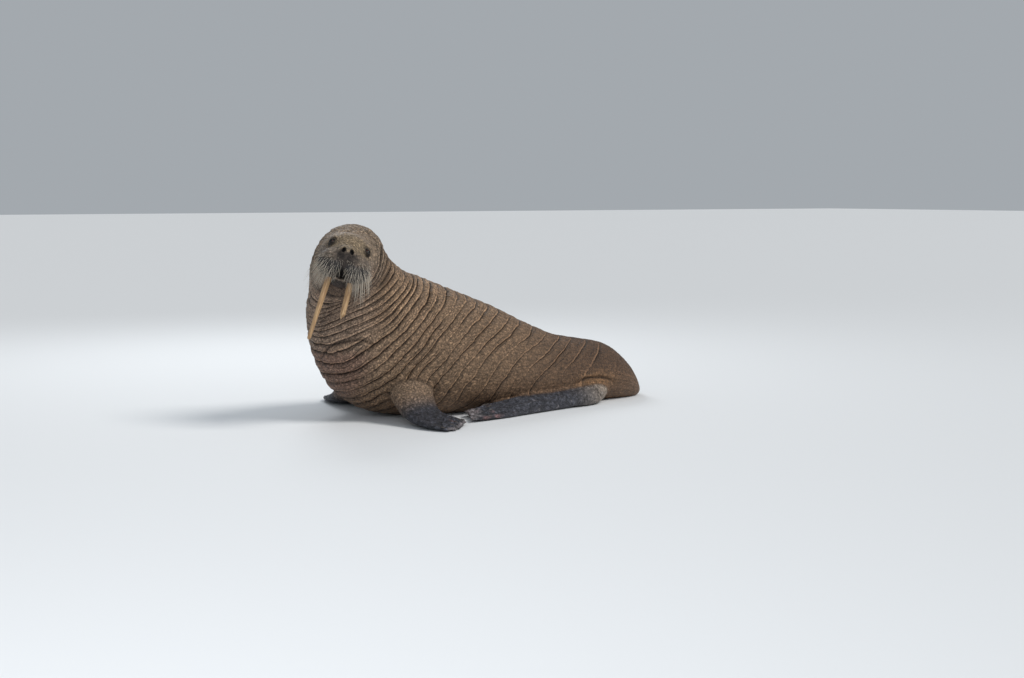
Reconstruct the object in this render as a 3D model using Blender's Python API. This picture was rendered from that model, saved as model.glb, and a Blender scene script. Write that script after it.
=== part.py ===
"""A life-size walrus lying on its belly with its chest raised and its head turned to its left.

Every size is in metres. The animal faces -Y, its left side is +X and up is +Z, and the floor is at Z = 0.
Sizes are given from the animal's own point of view: how far forward of the rump, left of the spine and up.
"""

import math
from typing import NamedTuple

import bpy
import bmesh
import numpy as np
from mathutils import Euler

SEED = 4
GAP = 0.00035
FLOOR = 0.0

# The frame: where the rump's own zero lies, so that the origin is under the middle of the whole animal
RUMP_Y = 1.1790

# Trunk: oblique sections from the rump to the back of the head
TRUNK_STATIONS = 15
DROOP = 0.10
TRUNK_SIDES = 28

# Creases of the skin, counted along the trunk's stations
FIRST_CREASE = 2.7
LAST_CREASE = 13.1
REAR_SPACING = 0.50
NECK_SPACING = 0.31
REAR_DEPTH = 0.007
NECK_DEPTH = 0.019
CREASE_WANDER = 0.05
ROLL_RISE = 0.45

# How far a crease leans forward as it comes down the side, and back over the throat, in stations
SIDE_LEAN = 0.95
BELLY_RETURN = 0.22
THROAT_LEAN = 0.70

# Head: its place, and how it is turned from straight ahead
HEAD_AT = (2.210, 0.246, 1.046)
HEAD_TURN = 64.0
HEAD_NOD = 7.0
HEAD_TILT = 17.0
HEAD_GRID = 10

EYE_LEFT = 0.117
EYE_UP = 0.054
EYE_SINK = 0.42
EYE_RADIUS = 0.0195
LID_THICKNESS = 0.0062
NOSTRIL_AT = (0.270, 0.025, 0.018)
NOSTRIL_SIZE = (0.024, 0.0085, 0.0140)
EAR_AT = (0.058, 0.152, 0.020)
EAR_RADIUS = 0.009

PAD_AT = (0.180, 0.068, -0.070)
PAD_SIZE = (0.098, 0.092, 0.094)
MOUTH_PARTING = 0.026
BRISTLE_SPOTS = 120
BRISTLE_RADIUS = 0.0021
BRISTLE_SHORT = 0.034
BRISTLE_LONG = 0.092
BRISTLE_FALL = -0.34
BRISTLE_CLEAR = 0.006

JAW_AT = (0.085, 0.0, -0.152)
JAW_SIZE = (0.142, 0.074, 0.054)

# Tusks: the right one is whole and the left one is broken short
TUSK_ROOT = (0.168, 0.066, -0.085)
TUSK_LENGTH = {"right": 0.475, "left": 0.290}
TUSK_RADIUS = 0.0225
TUSK_TIP_RADIUS = {"right": 0.0125, "left": 0.0165}
TUSK_BOW = 0.030
TUSK_FLATNESS = 0.80
TUSK_RAKE = 0.03


class Station(NamedTuple):
    """One section of the trunk, from its highest point to its keel; each point is forward, left and up."""

    top: tuple
    keel: tuple
    half_width: float
    turn: float


STATIONS = (
    Station((-0.180, 0.0, 0.070), (-0.172, 0.0, -0.010), 0.090, 0),
    Station((-0.115, 0.0, 0.170), (-0.100, 0.0, -0.025), 0.175, 0),
    Station((-0.025, 0.0, 0.288), (0.020, 0.0, -0.030), 0.240, 0),
    Station((0.125, 0.0, 0.385), (0.250, 0.0, -0.030), 0.292, 0),
    Station((0.330, 0.0, 0.425), (0.620, 0.0, -0.030), 0.335, 0),
    Station((0.550, 0.0, 0.470), (1.000, 0.0, -0.030), 0.378, 0),
    Station((0.785, 0.0, 0.562), (1.350, 0.0, -0.025), 0.412, 0),
    Station((1.010, 0.0, 0.668), (1.660, 0.0, -0.015), 0.432, 0),
    Station((1.245, 0.0, 0.762), (1.965, 0.0, 0.045), 0.434, 0),
    Station((1.445, 0.0, 0.838), (2.180, 0.0, 0.190), 0.408, 0),
    Station((1.615, 0.01, 0.900), (2.295, 0.03, 0.400), 0.360, 4),
    Station((1.760, 0.02, 0.948), (2.330, 0.10, 0.600), 0.292, 18),
    Station((1.920, 0.05, 1.058), (2.340, 0.23, 0.735), 0.224, 42),
    Station((2.105, 0.105, 1.257), (2.300, 0.36, 0.835), 0.212, 62),
    Station((2.180, 0.200, 1.180), (2.290, 0.40, 0.920), 0.120, 64),
)


class LimbRow(NamedTuple):
    """One section across a limb: forward, left and up of its middle, its half sizes, and its roll in degrees."""

    middle: tuple
    half_width: float
    half_depth: float
    roll: float


FORE_FLIPPER = (
    LimbRow((1.800, 0.220, 0.300), 0.150, 0.120, 0),
    LimbRow((1.830, 0.350, 0.205), 0.140, 0.100, 0),
    LimbRow((1.840, 0.450, 0.115), 0.128, 0.070, 0),
    LimbRow((1.830, 0.540, 0.060), 0.132, 0.048, 0),
    LimbRow((1.800, 0.640, 0.036), 0.148, 0.035, 0),
    LimbRow((1.760, 0.735, 0.024), 0.156, 0.024, 0),
    LimbRow((1.715, 0.820, 0.013), 0.140, 0.013, 0),
)

HIND_FLIPPER = (
    LimbRow((0.310, 0.080, 0.100), 0.060, 0.066, 0),
    LimbRow((0.265, 0.190, 0.095), 0.068, 0.072, -8),
    LimbRow((0.320, 0.290, 0.080), 0.074, 0.070, -16),
    LimbRow((0.450, 0.338, 0.068), 0.074, 0.062, -20),
    LimbRow((0.640, 0.362, 0.060), 0.074, 0.050, -24),
    LimbRow((0.860, 0.390, 0.056), 0.090, 0.041, -24),
    LimbRow((1.080, 0.428, 0.054), 0.110, 0.036, -22),
    LimbRow((1.300, 0.470, 0.048), 0.128, 0.028, -20),
    LimbRow((1.575, 0.520, 0.036), 0.124, 0.022, -15),
)


class LimbForm(NamedTuple):
    """How a flipper ends: the share of its length where the digits start, their ridges and how far the tips stand out."""

    rows: tuple
    digits_from: float
    ridge: float
    scallop: float
    claw_length: float
    lengths: tuple


FORE_FORM = LimbForm(FORE_FLIPPER, 0.52, 0.55, 0.035, 0.016, (0.97, 1.0, 0.97, 0.93, 0.88))
HIND_FORM = LimbForm(HIND_FLIPPER, 0.50, 0.70, 0.016, 0.018, (0.93, 0.94, 0.955, 0.975, 1.0))
LIMB_SIDES = 24
LIMB_RINGS = 14
DIGITS = 5

TAIL_ROOT = (-0.115, 0.0, 0.105)
TAIL_LENGTH = 0.085
TAIL_HALF_WIDTH = 0.034
TAIL_HALF_DEPTH = 0.014


def placed(points):
    """Turns forward, left and up into the model's own X, Y and Z."""
    points = np.asarray(points, float)
    return np.stack([points[..., 1], RUMP_Y - points[..., 0], points[..., 2]], axis=-1)


def spline(rows, at):
    """A smooth Catmull-Rom curve through the rows of a table, read at fractional row numbers."""
    rows = np.asarray(rows, float)
    last = len(rows) - 1
    at = np.clip(np.asarray(at, float), 0, last)
    low = np.minimum(at.astype(int), last - 1)
    share = (at - low)[..., None]
    before = rows[np.maximum(low - 1, 0)]
    start = rows[low]
    end = rows[low + 1]
    after = rows[np.minimum(low + 2, last)]
    slope = (end - before) / 2
    next_slope = (after - start) / 2
    square = share * share
    cube = square * share
    return (
        (2 * cube - 3 * square + 1) * start
        + (cube - 2 * square + share) * slope
        + (3 * square - 2 * cube) * end
        + (cube - square) * next_slope
    )


def smooth_step(low, high, value):
    """Rises from 0 at low to 1 at high with level ends."""
    share = np.clip((value - low) / (high - low), 0, 1)
    return share * share * (3 - 2 * share)


def unit(vectors):
    """The vectors at length one."""
    return vectors / np.maximum(np.linalg.norm(vectors, axis=-1, keepdims=True), 1e-12)


def shell_object(name, points, faces, material):
    """A mesh object from points and faces, with its faces pointing out."""
    mesh = bpy.data.meshes.new(name)
    mesh.from_pydata([tuple(map(float, p)) for p in points], [], [tuple(map(int, f)) for f in faces])
    work = bmesh.new()
    work.from_mesh(mesh)
    bmesh.ops.remove_doubles(work, verts=work.verts, dist=1e-6)
    bmesh.ops.triangulate(work, faces=[f for f in work.faces if len(f.verts) > 3])
    bmesh.ops.recalc_face_normals(work, faces=work.faces)
    work.to_mesh(mesh)
    work.free()
    mesh.materials.append(material)
    mesh.shade_smooth()
    obj = bpy.data.objects.new(name, mesh)
    bpy.context.scene.collection.objects.link(obj)
    return obj


def tube_faces(rings, sides):
    """Quads between rings of points laid end to end, with a fan closing each end to its own last point."""
    faces = []
    for i in range(rings - 1):
        for j in range(sides):
            k = (j + 1) % sides
            faces.append((i * sides + j, i * sides + k, (i + 1) * sides + k, (i + 1) * sides + j))
    start_hub = rings * sides
    end_hub = start_hub + 1
    last = (rings - 1) * sides
    for j in range(sides):
        k = (j + 1) % sides
        faces.append((start_hub, k, j))
        faces.append((end_hub, last + j, last + k))
    return faces


def closed_tube(name, rings, material):
    """A closed tube through an array of rings of points."""
    count, sides, _ = rings.shape
    hubs = np.stack([rings[0].mean(axis=0), rings[-1].mean(axis=0)])
    points = np.concatenate([rings.reshape(-1, 3), hubs])
    return shell_object(name, points, tube_faces(count, sides), material)


def combine(obj, operands, operation, solver="EXACT"):
    """Joins closed meshes to an object, or cuts them from it, applies that and removes them."""
    group = bpy.data.collections.new(f"{obj.name}_operands")
    bpy.context.scene.collection.children.link(group)
    for operand in operands:
        for owner in list(operand.users_collection):
            owner.objects.unlink(operand)
        group.objects.link(operand)
    modifier = obj.modifiers.new("combine", "BOOLEAN")
    modifier.operation = operation
    modifier.operand_type = "COLLECTION"
    modifier.collection = group
    modifier.solver = solver
    graph = bpy.context.evaluated_depsgraph_get()
    made = bpy.data.meshes.new_from_object(obj.evaluated_get(graph))
    obj.modifiers.clear()
    obj.data = made
    for operand in operands:
        bpy.data.objects.remove(operand)
    bpy.data.collections.remove(group)
    keep_largest(made)
    return obj


def keep_largest(mesh):
    """Leaves only the biggest closed surface of a mesh."""
    work = bmesh.new()
    work.from_mesh(mesh)
    bmesh.ops.remove_doubles(work, verts=work.verts, dist=1e-6)
    left = set(work.verts)
    islands = []
    while left:
        seed = left.pop()
        island = [seed]
        for vert in island:
            for edge in vert.link_edges:
                other = edge.other_vert(vert)
                if other in left:
                    left.remove(other)
                    island.append(other)
        islands.append(island)
    islands.sort(key=len)
    bmesh.ops.delete(work, geom=[v for island in islands[:-1] for v in island], context="VERTS")
    work.to_mesh(mesh)
    work.free()


def grown_copy(obj, by=GAP):
    """A copy of an object with its surface moved out, which cuts a neighbour and leaves a gap."""
    copy = obj.copy()
    copy.data = obj.data.copy()
    copy.name = f"{obj.name}_grown"
    bpy.context.scene.collection.objects.link(copy)
    normals = [v.normal.copy() for v in copy.data.vertices]
    for vert, normal in zip(copy.data.vertices, normals):
        vert.co += normal * by
    return copy


def crease_values():
    """Where along the stations each crease of the skin lies, closer together towards the neck."""
    draw = np.random.default_rng(SEED)
    values = []
    at = FIRST_CREASE
    while at < LAST_CREASE:
        values.append(at)
        share = smooth_step(3.0, 10.0, at)
        step = REAR_SPACING + (NECK_SPACING - REAR_SPACING) * share
        at += step * draw.uniform(0.86, 1.14)
    return np.array(values)


CREASES = crease_values()
CREASE_PHASES = np.random.default_rng(SEED + 1).uniform(0, 2 * math.pi, (len(CREASES), 3))


def crease_wander(at, angle):
    """How far a crease strays along the stations as it goes round the body."""
    slow = np.sin(2 * angle + 1.3 * at) * 0.6
    quick = np.sin(5 * angle - 2.1 * at + 0.7) * 0.4
    return CREASE_WANDER * (slow + quick) * smooth_step(1.5, 3.0, at)


def crease_lean(at, angle):
    """How far forward of its start on the back a crease lies at an angle round the body, in stations."""
    down = np.degrees(np.arccos(np.clip(np.cos(angle), -1, 1)))
    round_left = np.degrees(angle) % 360
    on_side = smooth_step(0, 85, down) - BELLY_RETURN * smooth_step(95, 135, down)
    on_throat = smooth_step(125, 190, round_left) - smooth_step(215, 320, round_left)
    rear = smooth_step(2.0, 4.0, at) * (1 - smooth_step(6.0, 9.6, at))
    front = smooth_step(10.0, 12.6, at) * (1 - smooth_step(13.0, 14.0, at))
    return SIDE_LEAN * rear * on_side - THROAT_LEAN * front * on_throat


def crease_depth(number, angle):
    """How deep one crease is at an angle round the body. It fades and deepens along its length."""
    share = smooth_step(3.0, 10.5, CREASES[number])
    depth = REAR_DEPTH + (NECK_DEPTH - REAR_DEPTH) * share
    first, second, third = CREASE_PHASES[number]
    swell = 0.68 + 0.22 * np.sin(angle + first) + 0.12 * np.sin(3 * angle + second) + 0.08 * np.sin(7 * angle + third)
    on_back = 1 - 0.45 * smooth_step(0.75, 1.0, np.cos(angle))
    return depth * swell * on_back


def crease_relief(at, angle):
    """The skin's height over the smooth trunk: sharp creases with full rolls between them."""
    fullness = REAR_DEPTH + (NECK_DEPTH - REAR_DEPTH) * smooth_step(3.0, 10.5, at)
    height = ROLL_RISE * fullness * smooth_step(1.5, 3.0, at)
    for number, crease in enumerate(CREASES):
        reach = 0.17 - 0.06 * smooth_step(3.0, 10.0, crease)
        height = height - crease_depth(number, angle) * np.exp(-np.abs(at - crease) / reach)
    return height


def trunk_base(at, angle):
    """Points of the smooth trunk, in forward, left and up, at station numbers and angles round the section."""
    table = [(*s.top, *s.keel, s.half_width, s.turn) for s in STATIONS]
    row = spline(table, at)
    top = row[..., 0:3]
    keel = row[..., 3:6]
    width = row[..., 6:7]
    turn = np.radians(row[..., 7])
    side = np.stack([-np.sin(turn), np.cos(turn), np.zeros_like(turn)], axis=-1)
    rise = (top - keel) / 2
    sine = np.sin(angle)[..., None]
    cosine = np.cos(angle)[..., None]
    return (top + keel) / 2 + rise * (cosine - DROOP * sine * sine) + side * width * sine


def trunk_surface(at, angle):
    """Points of the creased trunk in forward, left and up, resting flat on the floor."""
    at, angle = np.broadcast_arrays(np.asarray(at, float), np.asarray(angle, float))
    moved = at + crease_wander(at, angle) + crease_lean(at, angle)
    step = 1e-3
    here = trunk_base(moved, angle)
    along = trunk_base(moved + step, angle) - trunk_base(moved - step, angle)
    around = trunk_base(moved, angle + step) - trunk_base(moved, angle - step)
    out = unit(np.cross(around, along))
    points = here + out * crease_relief(at, angle)[..., None]
    points[..., 2] = np.maximum(points[..., 2], FLOOR)
    return points


def trunk_rings(first, last):
    """Station numbers for the rings of one length of trunk: on each crease, beside it and on the roll between."""
    inside = [c for c in CREASES if first < c < last]
    stops = sorted({first, last, *inside})
    values = []
    for low, high in zip(stops, stops[1:]):
        pieces = 2 if high - low < 0.38 else 3 if high - low < 0.9 else 5
        values.extend(low + (high - low) * k / pieces for k in range(pieces))
    return np.array([*values, last])


def trunk_length(name, first, last, material, gap_behind=True):
    """One closed length of the trunk between two station numbers, with its rear face set forward by the gap."""
    at = trunk_rings(first, last)
    angle = np.linspace(0, 2 * math.pi, TRUNK_SIDES, endpoint=False)
    rings = trunk_surface(at[:, None], angle[None, :])
    if gap_behind:
        rings[0, :, 0] += 2 * GAP
    return closed_tube(name, placed(rings), material)


class Blob(NamedTuple):
    """A rounded form of the head: its middle and half sizes in the head's own forward, left and up."""

    middle: tuple
    size: tuple
    blend: float


HEAD_BLOBS = (
    Blob((0.000, 0.000, 0.030), (0.175, 0.165, 0.122), 0.05),
    Blob((-0.120, 0.000, -0.010), (0.130, 0.170, 0.150), 0.06),
    Blob((0.090, 0.000, 0.052), (0.115, 0.108, 0.076), 0.05),
    Blob((0.170, 0.000, 0.000), (0.098, 0.088, 0.068), 0.04),
    Blob((0.150, 0.000, -0.058), (0.116, 0.130, 0.088), 0.04),
    Blob((0.232, 0.000, 0.004), (0.044, 0.054, 0.038), 0.03),
    Blob((0.020, 0.088, -0.052), (0.128, 0.082, 0.100), 0.05),
    Blob((0.104, 0.090, 0.054), (0.046, 0.034, 0.034), 0.025),
)


def blob_distance(points, middle, size):
    """About how far points lie outside an ellipsoid."""
    offset = points - np.asarray(middle)
    near = np.linalg.norm(offset / np.asarray(size), axis=-1)
    steep = np.linalg.norm(offset / np.square(size), axis=-1)
    return near * (near - 1) / np.maximum(steep, 1e-9)


def smooth_union(first, second, blend):
    """The nearer of two distances, rounded where they meet."""
    share = np.clip(0.5 + 0.5 * (second - first) / blend, 0, 1)
    return second * (1 - share) + first * share - blend * share * (1 - share)


def head_distance(points):
    """About how far points of the head's own frame lie outside its skin."""
    mirrored = points * np.array([1, -1, 1])
    found = np.full(points.shape[:-1], 1.0)
    for blob in HEAD_BLOBS:
        found = smooth_union(found, blob_distance(points, blob.middle, blob.size), blob.blend)
        if blob.middle[1]:
            found = smooth_union(found, blob_distance(mirrored, blob.middle, blob.size), blob.blend)
    return found


HEAD_CORE = np.array([0.045, 0.0, -0.015])
HEAD_REACH = 0.42


def head_skin(directions):
    """Where rays from the head's core leave its skin, in the head's own frame."""
    near = np.zeros(directions.shape[:-1])
    far = np.full(directions.shape[:-1], HEAD_REACH)
    for _ in range(30):
        middle = (near + far) / 2
        inside = head_distance(HEAD_CORE + directions * middle[..., None]) < 0
        near = np.where(inside, middle, near)
        far = np.where(inside, far, middle)
    return HEAD_CORE + directions * near[..., None]


def head_matrix():
    """Rows that turn the head's forward, left and up into the body's."""
    turn, nod, tilt = (math.radians(v) for v in (HEAD_TURN, HEAD_NOD, HEAD_TILT))
    forward = np.array([math.cos(turn) * math.cos(nod), math.sin(turn) * math.cos(nod), math.sin(nod)])
    level = np.array([-math.sin(turn), math.cos(turn), 0.0])
    upright = np.cross(forward, level)
    left = level * math.cos(tilt) - upright * math.sin(tilt)
    up = upright * math.cos(tilt) + level * math.sin(tilt)
    return np.stack([forward, left, up])


HEAD_AXES = head_matrix()


def from_head(points):
    """Turns points of the head's own frame into the body's forward, left and up."""
    return np.asarray(HEAD_AT) + np.asarray(points, float) @ HEAD_AXES


def cube_sphere(grid):
    """Directions spread evenly over a ball, with the faces between them."""
    edge = np.tan(np.linspace(-math.pi / 4, math.pi / 4, grid + 1))
    points = []
    faces = []
    for axis in range(3):
        for sign in (-1, 1):
            start = len(points)
            for a in edge:
                for b in edge:
                    point = np.zeros(3)
                    point[axis] = sign
                    point[(axis + 1) % 3] = a
                    point[(axis + 2) % 3] = b
                    points.append(point)
            for i in range(grid):
                for j in range(grid):
                    corner = start + i * (grid + 1) + j
                    faces.append((corner, corner + 1, corner + grid + 2, corner + grid + 1))
    return unit(np.array(points)), faces


def ball(name, middle, size, grid, material, shape=None):
    """A closed rounded form of the head, such as an ellipsoid, given in the head's own frame."""
    directions, faces = cube_sphere(grid)
    points = directions if shape is None else shape(directions)
    return shell_object(name, placed(from_head(np.asarray(middle) + points * np.asarray(size))), faces, material)


def mirrored(point, side):
    """A point of the head's left side, moved to the named side."""
    forward, left, up = point
    return (forward, left if side == "left" else -left, up)


def make_head_shell(material):
    """The head's skin as one closed form, before its openings are cut."""
    directions, faces = cube_sphere(HEAD_GRID)
    return shell_object("head", placed(from_head(head_skin(directions))), faces, material)


def eye_look(side):
    """Which way an eye looks, in the head's own frame."""
    sign = 1 if side == "left" else -1
    return unit(np.array([0.68, 0.70 * sign, 0.22]))


def eye_middle(side):
    """The middle of an eyeball, set a little under the skin it looks out of."""
    near = 0.0
    far = HEAD_REACH
    for _ in range(30):
        middle = (near + far) / 2
        if head_distance(np.array([middle, EYE_LEFT, EYE_UP])) < 0:
            near = middle
        else:
            far = middle
    skin = np.array(mirrored((near, EYE_LEFT, EYE_UP), side))
    return skin - eye_look(side) * EYE_RADIUS * EYE_SINK


def make_lids(side, material):
    """The thick rim of skin round one eye."""
    look = eye_look(side)
    across = unit(np.cross(look, np.array([0.0, 0.0, 1.0])))
    upward = np.cross(across, look)
    middle = eye_middle(side) + look * EYE_RADIUS * 0.42
    turn = np.linspace(0, 2 * math.pi, 12, endpoint=False)
    section = np.linspace(0, 2 * math.pi, 5, endpoint=False)
    points = []
    for t in turn:
        spoke = across * math.cos(t) * 1.22 + upward * math.sin(t) * 0.84
        centre = middle + spoke * EYE_RADIUS
        for s in section:
            points.append(centre + (unit(spoke) * math.cos(s) + look * math.sin(s) * 1.25) * LID_THICKNESS)
    faces = []
    count = len(section)
    for i in range(len(turn)):
        for j in range(count):
            k = (j + 1) % count
            n = (i + 1) % len(turn)
            faces.append((i * count + j, i * count + k, n * count + k, n * count + j))
    return shell_object(f"lids_{side}", placed(from_head(np.array(points))), faces, material)


def make_eye(side, material):
    """One eyeball."""
    return ball(f"eye_{side}", eye_middle(side), (EYE_RADIUS,) * 3, 4, material)


def nostril_cutter(side, material):
    """The hollow of one nostril, a slanted pocket in the top of the nose."""
    sign = 1 if side == "left" else -1
    lean = Euler((math.radians(24 * sign), 0, 0)).to_matrix()

    def leaned(directions):
        sized = directions * np.array(NOSTRIL_SIZE)
        return sized @ np.array(lean).T

    return ball(f"nostril_{side}", mirrored(NOSTRIL_AT, side), (1, 1, 1), 4, material, leaned)


def ear_cutter(side, material):
    """The small ear hole, which has no flap."""
    return ball(f"ear_{side}", mirrored(EAR_AT, side), (EAR_RADIUS * 0.7, EAR_RADIUS * 1.6, EAR_RADIUS), 3, material)


def pad_skin(directions):
    """The whisker pad's form: a full cushion, flatter against its neighbour and heavier below."""
    points = directions.copy()
    heavier = 1 + 0.10 * smooth_step(0.2, -0.8, directions[..., 2])
    points[..., 1] *= heavier
    points[..., 0] *= 1 + 0.06 * smooth_step(0.2, -0.6, directions[..., 2])
    inner = 2 * GAP + MOUTH_PARTING * smooth_step(-0.1, -0.9, directions[..., 2])
    points[..., 1] = np.maximum(points[..., 1], (inner - PAD_AT[1]) / PAD_SIZE[1])
    return points


def bristle_roots(side):
    """Where bristles grow on a whisker pad and which way each goes, in the head's own frame."""
    draw = np.random.default_rng(SEED + (7 if side == "left" else 8))
    sign = 1 if side == "left" else -1
    flip = np.array([1, sign, 1])
    golden = math.pi * (3 - math.sqrt(5))
    found = []
    for number in range(BRISTLE_SPOTS):
        forward = 1 - 2 * (number + 0.5) / BRISTLE_SPOTS
        ring = math.sqrt(1 - forward * forward)
        direction = np.array([forward, ring * math.cos(golden * number), ring * math.sin(golden * number)])
        _, outward, up = direction
        under = up < -0.80 and outward < 0.25
        if outward < -0.45 or up > 0.55 or forward < -0.12 or under:
            continue
        root = np.array(PAD_AT) + pad_skin(direction[None, :])[0] * np.array(PAD_SIZE) * 0.985
        low = float(smooth_step(0.5, -0.8, up))
        wide = float(smooth_step(-0.3, 0.8, outward))
        lie = unit(direction * 0.60 + np.array([0.16, 0.06 + 0.10 * max(outward, 0), -0.45 - 0.80 * low]))
        length = BRISTLE_SHORT + (BRISTLE_LONG - BRISTLE_SHORT) * low * (0.30 + 0.70 * wide)
        length *= draw.uniform(0.82, 1.12)
        along = np.array([bristle_middle(root, lie, length, stop) for stop in (0.0, 0.3, 0.6, 1.0)])
        if head_distance(along).min() > BRISTLE_CLEAR:
            found.append((root * flip, lie * flip, length))
    return found


def bristle_middle(root, lie, length, stop):
    """The middle of a bristle at a share of its length; it bends down towards its tip."""
    return root + (lie * stop + np.array([0.0, 0.0, BRISTLE_FALL]) * max(stop, 0) ** 2) * length


def make_bristle(name, root, lie, length, material):
    """One whisker: a tapered quill that starts inside the pad and bends down to its tip."""
    stops = (-0.15, 0.30, 0.70)
    thick = (1.0, 0.90, 0.60)
    side = unit(np.cross(lie, np.array([0.3, 0.1, 1.0])))
    other = np.cross(side, lie)
    sides = 3
    rings = []
    for stop, share in zip(stops, thick):
        middle = bristle_middle(root, lie, length, stop)
        radius = BRISTLE_RADIUS * share
        rings.append([
            middle + (side * math.cos(a) + other * math.sin(a)) * radius
            for a in np.linspace(0, 2 * math.pi, sides, endpoint=False)
        ])
    points = [p for ring in rings for p in ring]
    points.append(bristle_middle(root, lie, length, stops[0]))
    points.append(bristle_middle(root, lie, length, 1.0))
    faces = tube_faces(len(stops), sides)
    return shell_object(name, placed(from_head(np.array(points))), faces, material)


def make_pad_core(side, material, by=0.0):
    """One whisker pad without its bristles."""
    sign = 1 if side == "left" else -1

    def sided(directions):
        shaped = pad_skin(directions) * (np.array(PAD_SIZE) + by)
        return shaped * np.array([1, sign, 1])

    return ball(f"whisker_pad_{side}", mirrored(PAD_AT, side), (1, 1, 1), 6, material, sided)


def make_jaw(material, by=0.0):
    """The lower jaw and lip, narrower than the muzzle over it."""

    def chin(directions):
        points = directions * (np.array(JAW_SIZE) + by)
        points[..., 1] *= 1 - 0.18 * smooth_step(0.0, 1.0, directions[..., 0])
        points[..., 2] += 0.012 * smooth_step(0.5, 1.0, directions[..., 0])
        return points

    return ball("lower_jaw", JAW_AT, (1, 1, 1), 6, material, chin)


def make_tusk(side, material, by=0.0, name="tusk_cutter"):
    """One tusk, gently bowed back, oval in section and rounded at its tip."""
    sign = 1 if side == "left" else -1
    length = TUSK_LENGTH[side]
    rings = 12
    sides = 12
    angles = np.linspace(0, 2 * math.pi, sides, endpoint=False)
    stops = 1 - (1 - np.linspace(0, 1, rings)) ** 1.6
    points = []
    for stop in stops:
        bow = TUSK_BOW * math.sin(math.pi * min(stop * length / TUSK_LENGTH["right"], 1.0))
        middle = np.array([
            TUSK_ROOT[0] + bow + TUSK_RAKE * stop * length,
            sign * (TUSK_ROOT[1] + 0.012 * stop),
            TUSK_ROOT[2] - length * stop + (2 * by if stop == 0 else 0.0),
        ])
        radius = TUSK_RADIUS + (TUSK_TIP_RADIUS[side] - TUSK_RADIUS) * stop
        near_tip = max(0.0, (stop * length - (length - radius)) / radius)
        radius = radius * math.sqrt(max(0.0, 1 - min(near_tip, 0.985) ** 2)) + by
        for a in angles:
            points.append(middle + np.array([math.cos(a) * radius, math.sin(a) * radius * TUSK_FLATNESS, 0]))
    rings_array = placed(from_head(np.array(points))).reshape(rings, sides, 3)
    return closed_tube(name, rings_array, material)


def digit_height(across):
    """How much of a digit's ridge stands over each place across a flipper, from 0 between digits to 1 on them."""
    return 0.5 + 0.5 * np.cos(across * math.pi * (DIGITS - 1))


def limb_points(form, at, angle, side):
    """Points of a flipper in forward, left and up, at shares of its length and angles round its section."""
    at, angle = np.broadcast_arrays(np.asarray(at, float), np.asarray(angle, float))
    across = np.cos(angle)
    place = (across + 1) / 2 * (DIGITS - 1)
    reach = spline(np.array(form.lengths)[:, None], place)[..., 0]
    webbed = 1 - form.scallop * (1 - digit_height(across))
    spread = smooth_step(form.digits_from, 1.0, at)
    rows = [(*row.middle, row.half_width, row.half_depth, row.roll) for row in form.rows]
    count = len(rows) - 1
    stretched = at * (1 + (reach * webbed - 1) * spread)
    row = spline(rows, stretched * count)
    step = 1e-3
    along = spline(rows, stretched * count + step)[..., :3] - spline(rows, stretched * count - step)[..., :3]
    along = unit(along)
    level = unit(np.cross(np.broadcast_to([0.0, 0.0, 1.0], along.shape), along))
    normal = np.cross(along, level)
    roll = np.radians(row[..., 5:6])
    wide = level * np.cos(roll) + normal * np.sin(roll)
    thick = normal * np.cos(roll) - level * np.sin(roll)
    ridge = 1 + form.ridge * (digit_height(across) - 0.5) * smooth_step(form.digits_from, 0.8, at)
    deep = np.sign(np.sin(angle)) * np.abs(np.sin(angle)) ** 0.85
    tip = np.sqrt(np.clip(1 - smooth_step(0.90, 1.02, at) ** 2, 0, 1))
    points = (
        row[..., :3]
        + wide * (row[..., 3] * across)[..., None]
        + thick * (row[..., 4] * deep * ridge * tip)[..., None]
    )
    points[..., 2] = np.maximum(points[..., 2], FLOOR)
    if side == "right":
        points[..., 1] = -points[..., 1]
    return points


def make_limb(name, form, side, material):
    """One flipper with its digits as ridges, closed at the shoulder or hip and at the fringe."""
    at = np.linspace(0, 1, LIMB_RINGS)
    angle = np.linspace(0, 2 * math.pi, LIMB_SIDES, endpoint=False)
    return closed_tube(name, placed(limb_points(form, at[:, None], angle[None, :], side)), material)


def claw_places(form, side):
    """The root, direction and up of each claw near the end of a flipper's digits."""
    found = []
    for digit in range(DIGITS):
        across = 2 * digit / (DIGITS - 1) - 1
        angle = math.acos(across * 0.96)
        root = limb_points(form, 0.925, angle, side)
        behind = limb_points(form, 0.86, angle, side)
        found.append((root, unit(root - behind)))
    return found


def make_claw(name, root, ahead, length, material):
    """One small nail lying along its digit."""
    up = np.array([0.0, 0.0, 1.0])
    side = unit(np.cross(up, ahead))
    rings = []
    for stop, share in ((-0.9, 0.8), (0.1, 1.0), (0.9, 0.35)):
        middle = root + ahead * stop * length + up * (0.0015 - 0.002 * max(stop, 0))
        radius = 0.30 * length * share
        rings.append([
            middle + side * math.cos(a) * radius + up * math.sin(a) * radius * 0.8
            for a in np.linspace(0, 2 * math.pi, 4, endpoint=False)
        ])
    rings = np.maximum(np.array(rings), np.array([-9, -9, FLOOR]))
    return closed_tube(name, placed(rings), material)


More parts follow.
